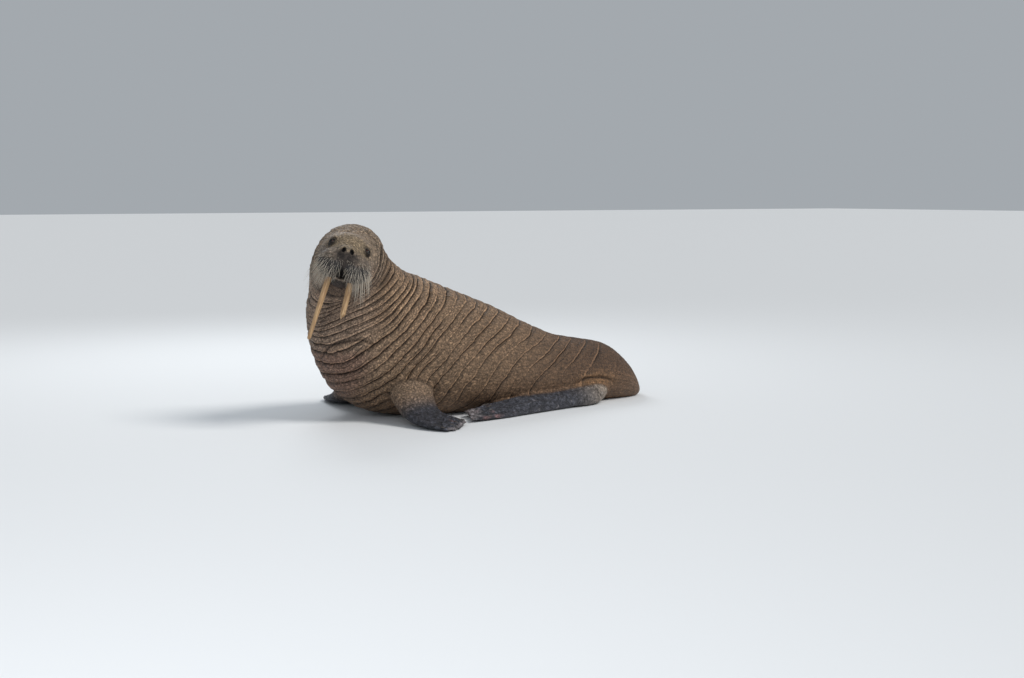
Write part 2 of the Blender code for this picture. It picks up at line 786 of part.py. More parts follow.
def make_tail(material):
    """The short flat tail between the hind flippers."""
    root = np.array(TAIL_ROOT)
    along = unit(np.array([-1.0, 0.0, -0.55]))
    side = np.array([0.0, 1.0, 0.0])
    thick = np.cross(along, side)
    rings = []
    for stop, share in ((-0.7, 1.0), (-0.2, 1.0), (0.3, 0.95), (0.65, 0.75), (0.9, 0.45), (1.0, 0.15)):
        middle = root + along * stop * TAIL_LENGTH
        rings.append([
            middle + side * math.cos(a) * TAIL_HALF_WIDTH * share + thick * math.sin(a) * TAIL_HALF_DEPTH * share
            for a in np.linspace(0, 2 * math.pi, 12, endpoint=False)
        ])
    return closed_tube("tail", placed(np.array(rings)), material)


def finish(name, colour, roughness):
    """A plain surface finish."""
    material = bpy.data.materials.new(name)
    material.use_nodes = True
    shader = material.node_tree.nodes["Principled BSDF"]
    shader.inputs["Base Color"].default_value = (*colour, 1)
    shader.inputs["Roughness"].default_value = roughness
    shader.inputs["Metallic"].default_value = 0.0
    material.diffuse_color = (*colour, 1)
    return material


def clear_scene():
    """Removes whatever the scene holds."""
    for obj in list(bpy.data.objects):
        bpy.data.objects.remove(obj)


def main():
    """Builds every node: the trunk in lengths, the head and what it carries, the flippers and the tail."""
    clear_scene()
    hide = finish("skin", (0.205, 0.135, 0.090), 0.72)
    dark_hide = finish("flipper_skin", (0.085, 0.082, 0.085), 0.62)
    ivory = finish("ivory", (0.62, 0.50, 0.33), 0.42)
    eye_gloss = finish("eye", (0.030, 0.014, 0.010), 0.10)
    bristle_finish = finish("bristle", (0.52, 0.48, 0.42), 0.45)

    trunk_end = TRUNK_STATIONS - 1.0
    stops = [0.0, CREASES[2], CREASES[7], CREASES[13], CREASES[19], trunk_end]
    names = ["hindquarters", "loins", "back", "shoulders", "neck"]
    trunk = {}
    for index, name in enumerate(names):
        trunk[name] = trunk_length(name, stops[index], stops[index + 1], hide, gap_behind=index > 0)

    head = make_head_shell(hide)
    combine(head, [make_lids(side, hide) for side in ("left", "right")], "UNION")
    combine(trunk["neck"], [grown_copy(head), make_jaw(hide, GAP)], "DIFFERENCE")

    cutters = [make_jaw(hide, GAP)]
    for side in ("left", "right"):
        cutters.append(nostril_cutter(side, hide))
        cutters.append(ear_cutter(side, hide))
        cutters.append(make_pad_core(side, hide, GAP))
        cutters.append(make_tusk(side, ivory, GAP))
        cutters.append(ball("socket", eye_middle(side), (EYE_RADIUS + 2 * GAP,) * 3, 4, hide))
        make_eye(side, eye_gloss)
        make_tusk(side, ivory, name=f"tusk_{side}")
    for cutter in cutters:
        combine(head, [cutter], "DIFFERENCE")

    jaw = make_jaw(hide)
    for side in ("left", "right"):
        pad = make_pad_core(side, bristle_finish)
        bristles = [
            make_bristle(f"bristle_{side}_{i}", *root, bristle_finish)
            for i, root in enumerate(bristle_roots(side))
        ]
        combine(pad, bristles, "UNION")
        combine(pad, [make_tusk(side, ivory, GAP)], "DIFFERENCE")
        combine(pad, [make_jaw(hide, GAP)], "DIFFERENCE")
        combine(pad, [grown_copy(trunk["neck"])], "DIFFERENCE")
        combine(jaw, [make_tusk(side, ivory, GAP)], "DIFFERENCE")

    for form, kind in ((FORE_FORM, "fore"), (HIND_FORM, "hind")):
        for side in ("left", "right"):
            limb = make_limb(f"{kind}_flipper_{side}", form, side, dark_hide)
            claws = [
                make_claw(f"claw_{i}", root, ahead, form.claw_length, dark_hide)
                for i, (root, ahead) in enumerate(claw_places(form, side))
            ]
            combine(limb, claws, "UNION")
            combine(limb, [grown_copy(length) for length in trunk.values()], "DIFFERENCE")

    tail = make_tail(dark_hide)
    combine(tail, [grown_copy(trunk["hindquarters"])], "DIFFERENCE")


main()
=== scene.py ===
"""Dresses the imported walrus: one wrinkled skin, wet eyes, ivory tusks, claws, whiskers and short hair.

Lengths are in metres. Forms are worked out from the animal's own point of view, as forward, left and up
from its rump or from the middle of its head. They are then turned into the frame, where it faces -Y and
its left side is +X.
"""

from __future__ import annotations

import logging
import math
from dataclasses import dataclass, field
from enum import Enum, IntEnum
from itertools import product
from typing import Any, Callable, NamedTuple

import bmesh
import bpy
import numpy as np
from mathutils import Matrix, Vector
from mathutils.kdtree import KDTree

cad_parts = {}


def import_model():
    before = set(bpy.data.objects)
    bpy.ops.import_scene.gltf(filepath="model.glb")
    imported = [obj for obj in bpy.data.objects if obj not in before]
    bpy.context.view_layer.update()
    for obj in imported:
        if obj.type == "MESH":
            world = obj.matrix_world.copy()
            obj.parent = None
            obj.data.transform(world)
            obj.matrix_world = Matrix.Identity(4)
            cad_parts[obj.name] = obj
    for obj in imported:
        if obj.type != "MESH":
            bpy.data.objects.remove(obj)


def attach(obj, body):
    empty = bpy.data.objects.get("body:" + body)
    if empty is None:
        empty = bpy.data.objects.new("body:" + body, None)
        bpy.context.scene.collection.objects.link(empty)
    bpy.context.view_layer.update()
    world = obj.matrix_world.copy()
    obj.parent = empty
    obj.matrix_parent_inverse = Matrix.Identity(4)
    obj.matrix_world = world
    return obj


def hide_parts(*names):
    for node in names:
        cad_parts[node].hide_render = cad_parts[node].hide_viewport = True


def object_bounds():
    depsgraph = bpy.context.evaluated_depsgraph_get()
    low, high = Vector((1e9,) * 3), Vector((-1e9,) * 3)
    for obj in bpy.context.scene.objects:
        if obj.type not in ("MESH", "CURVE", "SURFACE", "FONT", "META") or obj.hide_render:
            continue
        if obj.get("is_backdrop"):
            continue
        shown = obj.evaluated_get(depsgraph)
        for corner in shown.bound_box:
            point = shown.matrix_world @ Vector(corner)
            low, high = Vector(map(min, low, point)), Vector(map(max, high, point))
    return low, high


LOG = logging.getLogger("walrus")
Array = np.ndarray
Object = bpy.types.Object
Mesh = bpy.types.Mesh
Colour = tuple[float, float, float]
Place = tuple[float, float, float]
Span = tuple[float, float]

SEED = 4
FLOOR = 0.0
RUMP_Y = 1.1790
WHOLE_TURN = 2 * math.pi
GOLDEN_TURN = math.pi * (3 - math.sqrt(5))
BAKE_MAP = "OFBake"
PATCH = 0.003
TINY = 1e-3
LONGEST_STEP = 0.05
WIDEST_STEP = 0.04
LEAST_SLOPE = 0.1
HALVINGS = 30
DEEPEST_SHADE = 0.95
FOLD_ENDS = (0.03, 0.97)
CLAW_POWER = 2.4
TAIL_POWER = 2.6
BLUNT = 0.01
NEARLY_TIP = 0.995
WHISKER_LEVEL = (0.3, 0.1, 1.0)
UP = np.array([0.0, 0.0, 1.0])

NOISE_KEYS = np.array([73856093, 19349663, 83492791])
NOISE_SEED_KEY = 40503
NOISE_MIXER = 1274126177
NOISE_WORD = 0x7FFFFFFF
NOISE_LEVELS = 0xFFFF
NOISE_FOLDS = (13, 16)
OCTAVE_SHIFT = 17.3

SCREEN_LEVELS = 255
SCREEN_TOE = 0.04045
SCREEN_TOE_SLOPE = 12.92
SCREEN_OFFSET = 0.055
SCREEN_POWER = 2.4


class Side(Enum):
    """A side of the animal, with the sign of its left axis there."""

    LEFT = 1
    RIGHT = -1

    @property
    def flip(self) -> Array:
        """What a point of the left side is multiplied by to lie on this side."""
        return np.array([1.0, float(self.value), 1.0])

    @property
    def word(self) -> str:
        """The side's name in lower case."""
        return self.name.lower()


class Noise(IntEnum):
    """Which noise is meant: each has a seed of its own."""

    STRAY = 11
    STRAY_FINE = 12
    WRINKLE = 23
    BROW = 31
    KNOBS = 41
    SAG = 43
    HIDE = 51
    FACE = 61
    FACE_FINE = 63
    LIMB = 71
    WEB = 73
    SCAR = 75
    GUM = 81


class Form(NamedTuple):
    """A closed shape as points in the frame and the faces between them."""

    points: Array
    faces: list[tuple[int, ...]]


def placed(points: Array) -> Array:
    """Turns forward, left and up into the frame's X, Y and Z."""
    points = np.asarray(points, float)
    return np.stack([points[..., 1], RUMP_Y - points[..., 0], points[..., 2]], axis=-1)


def unplaced(points: Array) -> Array:
    """Turns the frame's X, Y and Z into forward, left and up."""
    return np.stack([RUMP_Y - points[..., 1], points[..., 0], points[..., 2]], axis=-1)


def unit(vectors: Array) -> Array:
    """The vectors at length one."""
    return vectors / np.maximum(np.linalg.norm(vectors, axis=-1, keepdims=True), 1e-12)


def norm(vectors: Array) -> Array:
    """How long each vector is."""
    return np.linalg.norm(vectors, axis=-1)


def ease(low: float, high: float, value: Any) -> Any:
    """Rises from 0 at low to 1 at high with level ends, or falls where low is the greater."""
    share = np.clip((value - low) / (high - low), 0, 1)
    return share * share * (3 - 2 * share)


def between(ends: Span, share: Any) -> Any:
    """Goes from the first end to the second, also for a shader value."""
    low, high = ends
    return share * (high - low) + low


def bell(value: Any, middle: float, width: float) -> Any:
    """A smooth hump of height one round the middle."""
    return np.exp(-(((value - middle) / width) ** 2))


def full_share(angle: Array) -> Array:
    """Angles as shares of a whole turn, from 0 to 1."""
    return (angle % WHOLE_TURN) / WHOLE_TURN


def full_circle(count: int) -> Array:
    """Angles spread evenly round a circle."""
    return np.linspace(0, WHOLE_TURN, count, endpoint=False)


def spline(rows: Any, at: Any) -> Array:
    """Reads a smooth curve through the rows of a table.

    Args:
        rows: The table, one row for each point of the curve.
        at: Row numbers, which may be fractions.

    Returns:
        The curve's values there.
    """
    rows = np.asarray(rows, float)
    last = len(rows) - 1
    at = np.clip(np.asarray(at, float), 0, last)
    low = np.minimum(at.astype(int), last - 1)
    share = (at - low)[..., None]
    before = rows[np.maximum(low - 1, 0)]
    start = rows[low]
    end = rows[low + 1]
    after = rows[np.minimum(low + 2, last)]
    square = share * share
    cube = square * share
    return (
        (2 * cube - 3 * square + 1) * start
        + (cube - 2 * square + share) * (end - before) / 2
        + (3 * square - 2 * cube) * end
        + (cube - square) * (after - start) / 2
    )


def lattice_noise(points: Array, seed: int) -> Array:
    """Smooth random heights that repeat nowhere near.

    Args:
        points: Places in cells of the noise, in three columns.
        seed: Which noise it is.

    Returns:
        A height from -1 to 1 for each place.
    """
    cell = np.floor(points).astype(np.int64)
    share = points - cell
    share = share * share * (3 - 2 * share)
    total = np.zeros(points.shape[:-1])
    first_fold, second_fold = NOISE_FOLDS
    for corner in product((0, 1), repeat=3):
        key = (cell + np.array(corner)) @ NOISE_KEYS + seed * NOISE_SEED_KEY
        key = ((key ^ (key >> first_fold)) * NOISE_MIXER) & NOISE_WORD
        key = key ^ (key >> second_fold)
        height = (key & NOISE_LEVELS) / (NOISE_LEVELS / 2) - 1
        weight = np.prod(np.where(np.array(corner, bool), share, 1 - share), axis=-1)
        total += height * weight
    return total


def rough_noise(points: Array, seed: int, octaves: int = 3) -> Array:
    """Noise with finer noise laid over it, from about -1 to 1."""
    total = np.zeros(points.shape[:-1])
    for octave in range(octaves):
        total += lattice_noise(points * 2**octave + OCTAVE_SHIFT * octave, seed + octave) / 2**octave
    return total / (2 - 2 ** (1 - octaves))


def tube_quads(rings: int, sides: int) -> list[tuple[int, int, int, int]]:
    """The four-cornered faces between the rings of a tube."""
    quads = []
    for i, j in product(range(rings - 1), range(sides)):
        k = (j + 1) % sides
        quads.append((i * sides + j, i * sides + k, (i + 1) * sides + k, (i + 1) * sides + j))
    return quads


def tube_form(rings: Array) -> Form:
    """A closed tube through rings of points in the frame.

    Args:
        rings: Points as an array of rings, sides and coordinates.

    Returns:
        The tube, with a fan over each end.
    """
    count, sides, _ = rings.shape
    hubs = np.stack([rings[0].mean(axis=0), rings[-1].mean(axis=0)])
    faces: list[tuple[int, ...]] = [*tube_quads(count, sides)]
    last = (count - 1) * sides
    for j in range(sides):
        k = (j + 1) % sides
        faces.append((count * sides, k, j))
        faces.append((count * sides + 1, last + j, last + k))
    return Form(np.concatenate([rings.reshape(-1, 3), hubs]), faces)


def ball_form(rings: int, sides: int) -> Form:
    """A closed ball of radius one with its poles along the first axis."""
    polar = np.linspace(0, math.pi, rings + 2)[1:-1, None]
    around = full_circle(sides)[None, :]
    points = np.stack(
        [
            np.cos(polar) * np.ones_like(around),
            np.sin(polar) * np.cos(around),
            np.sin(polar) * np.sin(around),
        ],
        axis=-1,
    )
    form = tube_form(points)
    form.points[-2] = (1, 0, 0)
    form.points[-1] = (-1, 0, 0)
    return form


def link_object(name: str, data: Any) -> Object:
    """Makes an object for a mesh, a light or a camera and links it to the scene."""
    obj = bpy.data.objects.new(name, data)
    bpy.context.scene.collection.objects.link(obj)
    return obj


def new_object(name: str, form: Form) -> Object:
    """Makes a smooth mesh object with its faces pointing out.

    Args:
        name: The object's name.
        form: Its points and faces.

    Returns:
        The object, linked to the scene.
    """
    mesh = bpy.data.meshes.new(name)
    mesh.from_pydata(form.points.tolist(), [], form.faces)
    work = bmesh.new()
    work.from_mesh(mesh)
    bmesh.ops.recalc_face_normals(work, faces=work.faces)
    work.to_mesh(mesh)
    work.free()
    mesh.shade_smooth()
    return link_object(name, mesh)


def read_rows(items: Any, name: str, columns: int, kind: Any = np.float32) -> Array:
    """Reads one property of each item of a mesh's list as rows."""
    flat = np.empty(len(items) * columns, kind)
    items.foreach_get(name, flat)
    return flat.reshape(-1, columns)


def read_points(mesh: Mesh) -> Array:
    """The places of a mesh's vertices."""
    return read_rows(mesh.vertices, "co", 3).astype(float)


def read_normals(mesh: Mesh) -> Array:
    """The directions in which a mesh's vertices face."""
    return read_rows(mesh.vertex_normals, "vector", 3).astype(float)


def write_points(mesh: Mesh, points: Array) -> None:
    """Moves a mesh's vertices."""
    mesh.vertices.foreach_set("co", points.astype(np.float32).ravel())
    mesh.update()


def relax(points: Array, edges: Array, weight: Array, rounds: int) -> Array:
    """Evens out a surface by drawing each point towards its neighbours.

    Args:
        points: The points to move.
        edges: Pairs of neighbours.
        weight: How far each point goes in a round, from 0 to 1.
        rounds: How many rounds there are.

    Returns:
        The points after the last round.
    """
    moving = weight > 0
    spots, ends = np.unique(edges[moving[edges].any(axis=1)], return_inverse=True)
    ends = ends.reshape(-1, 2)
    count = len(spots)
    here = points[spots]
    pull = weight[spots][:, None]
    own = np.concatenate([ends[:, 0], ends[:, 1]])
    other = np.concatenate([ends[:, 1], ends[:, 0]])
    share = np.maximum(np.bincount(own, minlength=count), 1)[:, None]
    for _ in range(rounds):
        columns = [np.bincount(own, weights=here[other, k], minlength=count) for k in range(here.shape[1])]
        here = here + (np.stack(columns, axis=1) / share - here) * pull
    points = points.copy()
    points[spots] = here
    return points


def read_edges(mesh: Mesh) -> Array:
    """The pairs of vertices that a mesh's edges join."""
    return read_rows(mesh.edges, "vertices", 2, np.int32)


def nearest_rows(grid: Array, points: Array) -> tuple[Array, Array]:
    """Finds the row of a grid that lies nearest to each point, and how far off it is."""
    tree = KDTree(len(grid))
    for number, point in enumerate(grid):
        tree.insert(point, number)
    tree.balance()
    found = [tree.find(point)[1:] for point in points]
    return np.array([number for number, _ in found]), np.array([apart for _, apart in found])


def joined_form(forms: list[Form]) -> Form:
    """Several forms as one, without joining their surfaces."""
    points: list[Array] = []
    faces: list[tuple[int, ...]] = []
    start = 0
    for form in forms:
        points.append(form.points)
        faces.extend(tuple(corner + start for corner in face) for face in form.faces)
        start += len(form.points)
    return Form(np.concatenate(points), faces)


@dataclass(frozen=True)
class Station:
    """One oblique section of the trunk, from its highest point to its keel."""

    top: Place
    keel: Place
    half_width: float
    turn: float


@dataclass
class Trunk:
    """The body from the rump to the hood of skin behind the head, and the creases that cross it."""

    stations: tuple[Station, ...] = (
        Station((-0.180, 0.0, 0.070), (-0.172, 0.0, -0.010), 0.090, 0),
        Station((-0.115, 0.0, 0.170), (-0.100, 0.0, -0.025), 0.175, 0),
        Station((-0.025, 0.0, 0.288), (0.020, 0.0, -0.030), 0.240, 0),
        Station((0.125, 0.0, 0.385), (0.250, 0.0, -0.030), 0.292, 0),
        Station((0.330, 0.0, 0.425), (0.620, 0.0, -0.030), 0.335, 0),
        Station((0.550, 0.0, 0.470), (1.000, 0.0, -0.030), 0.378, 0),
        Station((0.785, 0.0, 0.562), (1.350, 0.0, -0.025), 0.412, 0),
        Station((1.010, 0.0, 0.668), (1.660, 0.0, -0.015), 0.432, 0),
        Station((1.245, 0.0, 0.762), (1.965, 0.0, 0.045), 0.434, 0),
        Station((1.445, 0.0, 0.838), (2.180, 0.0, 0.190), 0.408, 0),
        Station((1.615, 0.01, 0.900), (2.295, 0.03, 0.400), 0.360, 4),
        Station((1.760, 0.02, 0.948), (2.330, 0.10, 0.600), 0.292, 18),
        Station((1.920, 0.05, 1.058), (2.340, 0.23, 0.735), 0.224, 42),
        Station((2.105, 0.105, 1.250), (2.300, 0.36, 0.835), 0.212, 62),
        Station((2.180, 0.200, 1.180), (2.290, 0.40, 0.920), 0.120, 64),
    )
    droop: float = 0.10
    first_crease: float = 2.7
    last_crease: float = 13.4
    rear_spacing: float = 0.50
    neck_spacing: float = 0.31
    rear_depth: float = 0.008
    neck_depth: float = 0.019
    wander: float = 0.05
    fray: float = 0.085
    side_lean: float = 0.95
    belly_return: float = 0.22
    throat_lean: float = 0.70
    roll_rise: float = 0.45
    stray_scale: float = 5.0
    stray_fine_scale: float = 15.0
    bend_span: Span = (1.5, 3.0)
    bend_rounds: int = 8
    groove_width: float = 0.030
    wrinkle_scale: float = 13.0
    wrinkle_from: float = 0.84
    wrinkle_depth: Span = (0.0006, 0.0048)
    marked_depth: float = 0.007
    swell: tuple[float, float, float, float] = (0.70, 0.28, 0.26, 0.18)
    creases: Array = field(init=False)
    phases: Array = field(init=False)

    def __post_init__(self) -> None:
        """Draws where the creases lie."""
        draw = np.random.default_rng(SEED)
        values: list[float] = []
        at = self.first_crease
        while at < self.last_crease:
            values.append(at)
            share = ease(3.0, 10.0, at)
            spacing = self.rear_spacing + (self.neck_spacing - self.rear_spacing) * share
            at += spacing * draw.uniform(0.86, 1.14)
        self.creases = np.array(values)
        self.phases = np.random.default_rng(SEED + 1).uniform(0, WHOLE_TURN, (len(values), 3))

    @property
    def last(self) -> float:
        """The number of the last station."""
        return len(self.stations) - 1.0

    def base(self, at: Any, angle: Any) -> Array:
        """Finds points of the smooth trunk.

        Args:
            at: Station numbers.
            angle: Angles round the section, from 0 at the top and rising to the left.

        Returns:
            The points, as forward, left and up.
        """
        at, angle = np.broadcast_arrays(np.asarray(at, float), np.asarray(angle, float))
        row = spline([(*s.top, *s.keel, s.half_width, s.turn) for s in self.stations], at)
        top = row[..., 0:3]
        keel = row[..., 3:6]
        turn = np.radians(row[..., 7])
        side = np.stack([-np.sin(turn), np.cos(turn), np.zeros_like(turn)], axis=-1)
        sine = np.sin(angle)[..., None]
        rise = (top - keel) / 2
        height = np.cos(angle)[..., None] - self.droop * sine * sine
        return (top + keel) / 2 + rise * height + side * row[..., 6:7] * sine

    def form(self, rings: int = 260, sides: int = 160) -> Form:
        """The smooth trunk as a closed shape that rests flat on the floor."""
        at = np.linspace(0, self.last, rings)[:, None]
        points = self.base(at, full_circle(sides)[None, :])
        points[..., 2] = np.maximum(points[..., 2], FLOOR)
        return tube_form(placed(points))

    def lookup(self, points: Array, rings: int = 281, sides: int = 160) -> tuple[Array, Array, Array]:
        """Finds where on the trunk each point lies.

        Args:
            points: Points as forward, left and up.
            rings: How finely the trunk is sampled along.
            sides: How finely it is sampled round.

        Returns:
            Station numbers, angles and distances from the smooth surface.
        """
        ats = np.linspace(0, self.last, rings)
        angles = np.linspace(-math.pi, math.pi, sides, endpoint=False)
        found, _ = nearest_rows(self.base(ats[:, None], angles[None, :]).reshape(-1, 3), points)
        at = ats[found // sides]
        angle = angles[found % sides]
        for _ in range(2):
            here = self.base(at, angle)
            along = (self.base(at + TINY, angle) - self.base(at - TINY, angle)) / (2 * TINY)
            around = (self.base(at, angle + TINY) - self.base(at, angle - TINY)) / (2 * TINY)
            offset = points - here
            a = np.sum(along * along, axis=1)
            b = np.sum(along * around, axis=1)
            c = np.sum(around * around, axis=1)
            p = np.sum(offset * along, axis=1)
            q = np.sum(offset * around, axis=1)
            scale = np.maximum(a * c - b * b, 1e-9)
            at = np.clip(at + np.clip((c * p - b * q) / scale, -LONGEST_STEP, LONGEST_STEP), 0, self.last)
            angle = angle + np.clip((a * q - b * p) / scale, -WIDEST_STEP, WIDEST_STEP)
        return at, angle, norm(points - self.base(at, angle))

    def lean(self, at: Array, angle: Array) -> Array:
        """How far forward of its start on the back a crease lies at an angle round the body, in stations."""
        down = np.degrees(np.arccos(np.clip(np.cos(angle), -1, 1)))
        round_left = np.degrees(angle) % 360
        on_side = ease(0, 85, down) - self.belly_return * ease(95, 135, down)
        on_throat = ease(125, 190, round_left) - ease(215, 320, round_left)
        rear = ease(2.0, 4.0, at) * (1 - ease(6.0, 9.6, at))
        front = ease(10.0, 12.6, at) * (1 - ease(13.0, 14.0, at))
        return self.side_lean * rear * on_side - self.throat_lean * front * on_throat

    def phase(self, at: Array, angle: Array, points: Array) -> Array:
        """Counts the creases up to each place, with the share of the roll that it lies on.

        Args:
            at: Station numbers.
            angle: Angles round the section.
            points: The places themselves, which make the creases stray.

        Returns:
            The number of the crease behind each place, and how far towards the next it is.
        """
        coarse = rough_noise(points * self.stray_scale, Noise.STRAY)
        fine = rough_noise(points * self.stray_fine_scale, Noise.STRAY_FINE, 2)
        stray = self.fray * coarse + 0.35 * self.fray * fine
        start = at
        for _ in range(self.bend_rounds):
            slow = 0.6 * np.sin(2 * angle + 1.3 * start) + 0.4 * np.sin(5 * angle - 2.1 * start + 0.7)
            bend = (self.wander * slow + stray) * ease(*self.bend_span, start)
            start = start + 0.7 * (at - start - bend - self.lean(start, angle))
        return np.interp(start, self.creases, np.arange(len(self.creases)), left=-1, right=len(self.creases))

    def relief(self, at: Array, angle: Array, points: Array) -> tuple[Array, Array, Array]:
        """Works out the folds of the skin.

        Args:
            at: Station numbers.
            angle: Angles round the section.
            points: The places themselves.

        Returns:
            The skin's height over the smooth trunk, the count of creases up to it, and how marked they are.
        """
        phase = self.phase(at, angle, points)
        count = len(self.creases)
        inside = (phase >= 0) & (phase <= count - 1)
        low = np.clip(phase.astype(int), 0, count - 2)
        share = np.clip(phase - low, 0, 1)
        gap = self.creases[low + 1] - self.creases[low]
        near_depth = self.depth(low, angle)
        far_depth = self.depth(low + 1, angle)
        depth = near_depth + (far_depth - near_depth) * ease(0.3, 0.7, share)
        on_crown = ease(11.9, 12.7, at) * ease(1.09, 1.16, points[:, 2])
        on_throat = ease(-0.05, -0.6, np.cos(angle)) * ease(10.0, 11.0, at)
        depth = depth * ease(2.7, 4.0, at)
        depth = depth * (1 - 0.88 * on_crown) * (1 - 0.60 * on_throat)
        depth = np.where(inside, depth, 0)
        neckward = ease(4.0, 9.5, at)
        rolled = np.sin(math.pi * share) ** between((0.62, 0.48), neckward)
        tucked = 1 - 0.35 * ease(0.0, 0.5, share)
        groove = np.exp(-np.minimum(share, 1 - share) * gap / self.groove_width)
        roll = between((0.35, 1.30), neckward) * (rolled - 1) * tucked
        height = depth * (roll - between((0.85, 0.25), neckward) * groove)
        ridged = 1 - np.abs(rough_noise(points * self.wrinkle_scale, Noise.WRINKLE, 2))
        room = 1 - self.wrinkle_from
        fine = np.clip(ridged - self.wrinkle_from, 0, room) / room
        height = height - fine * between(self.wrinkle_depth, neckward) * ease(2.0, 4.0, at)
        fullness = self.full_depth(at)
        height = height + self.roll_rise * fullness * ease(*self.bend_span, at)
        return height, phase, np.clip(depth / self.marked_depth, 0, 1)

    def full_depth(self, at: Array) -> Array:
        """How deep the creases are at stations before they fade and swell."""
        return between((self.rear_depth, self.neck_depth), ease(3.0, 10.5, at))

    def depth(self, number: Array, angle: Array) -> Array:
        """How deep creases are at angles round the body: each fades and deepens along its length."""
        first, second, third = self.phases[number].T
        level, slow, middle, quick = self.swell
        swell = level + slow * np.sin(angle + first) + middle * np.sin(3 * angle + second)
        swell = swell + quick * np.sin(7 * angle + third)
        on_back = 1 - 0.40 * ease(0.80, 1.0, np.cos(angle))
        return self.full_depth(self.creases[number]) * np.clip(swell, 0.05, 1.3) * on_back


@dataclass(frozen=True)
class Blob:
    """A rounded form of the head: its middle and half sizes, and how softly it joins the rest."""

    middle: Place
    size: Place
    blend: float


def blob_distance(points: Array, middle: Any, size: Any) -> Array:
    """About how far points lie outside an ellipsoid."""
    offset = points - np.asarray(middle)
    near = norm(offset / np.asarray(size))
    steep = norm(offset / np.square(size))
    return near * (near - 1) / np.maximum(steep, 1e-9)


def smooth_union(first: Array, second: Array, blend: float) -> Array:
    """The nearer of two distances, rounded where they meet."""
    share = np.clip(0.5 + 0.5 * (second - first) / blend, 0, 1)
    return second * (1 - share) + first * share - blend * share * (1 - share)


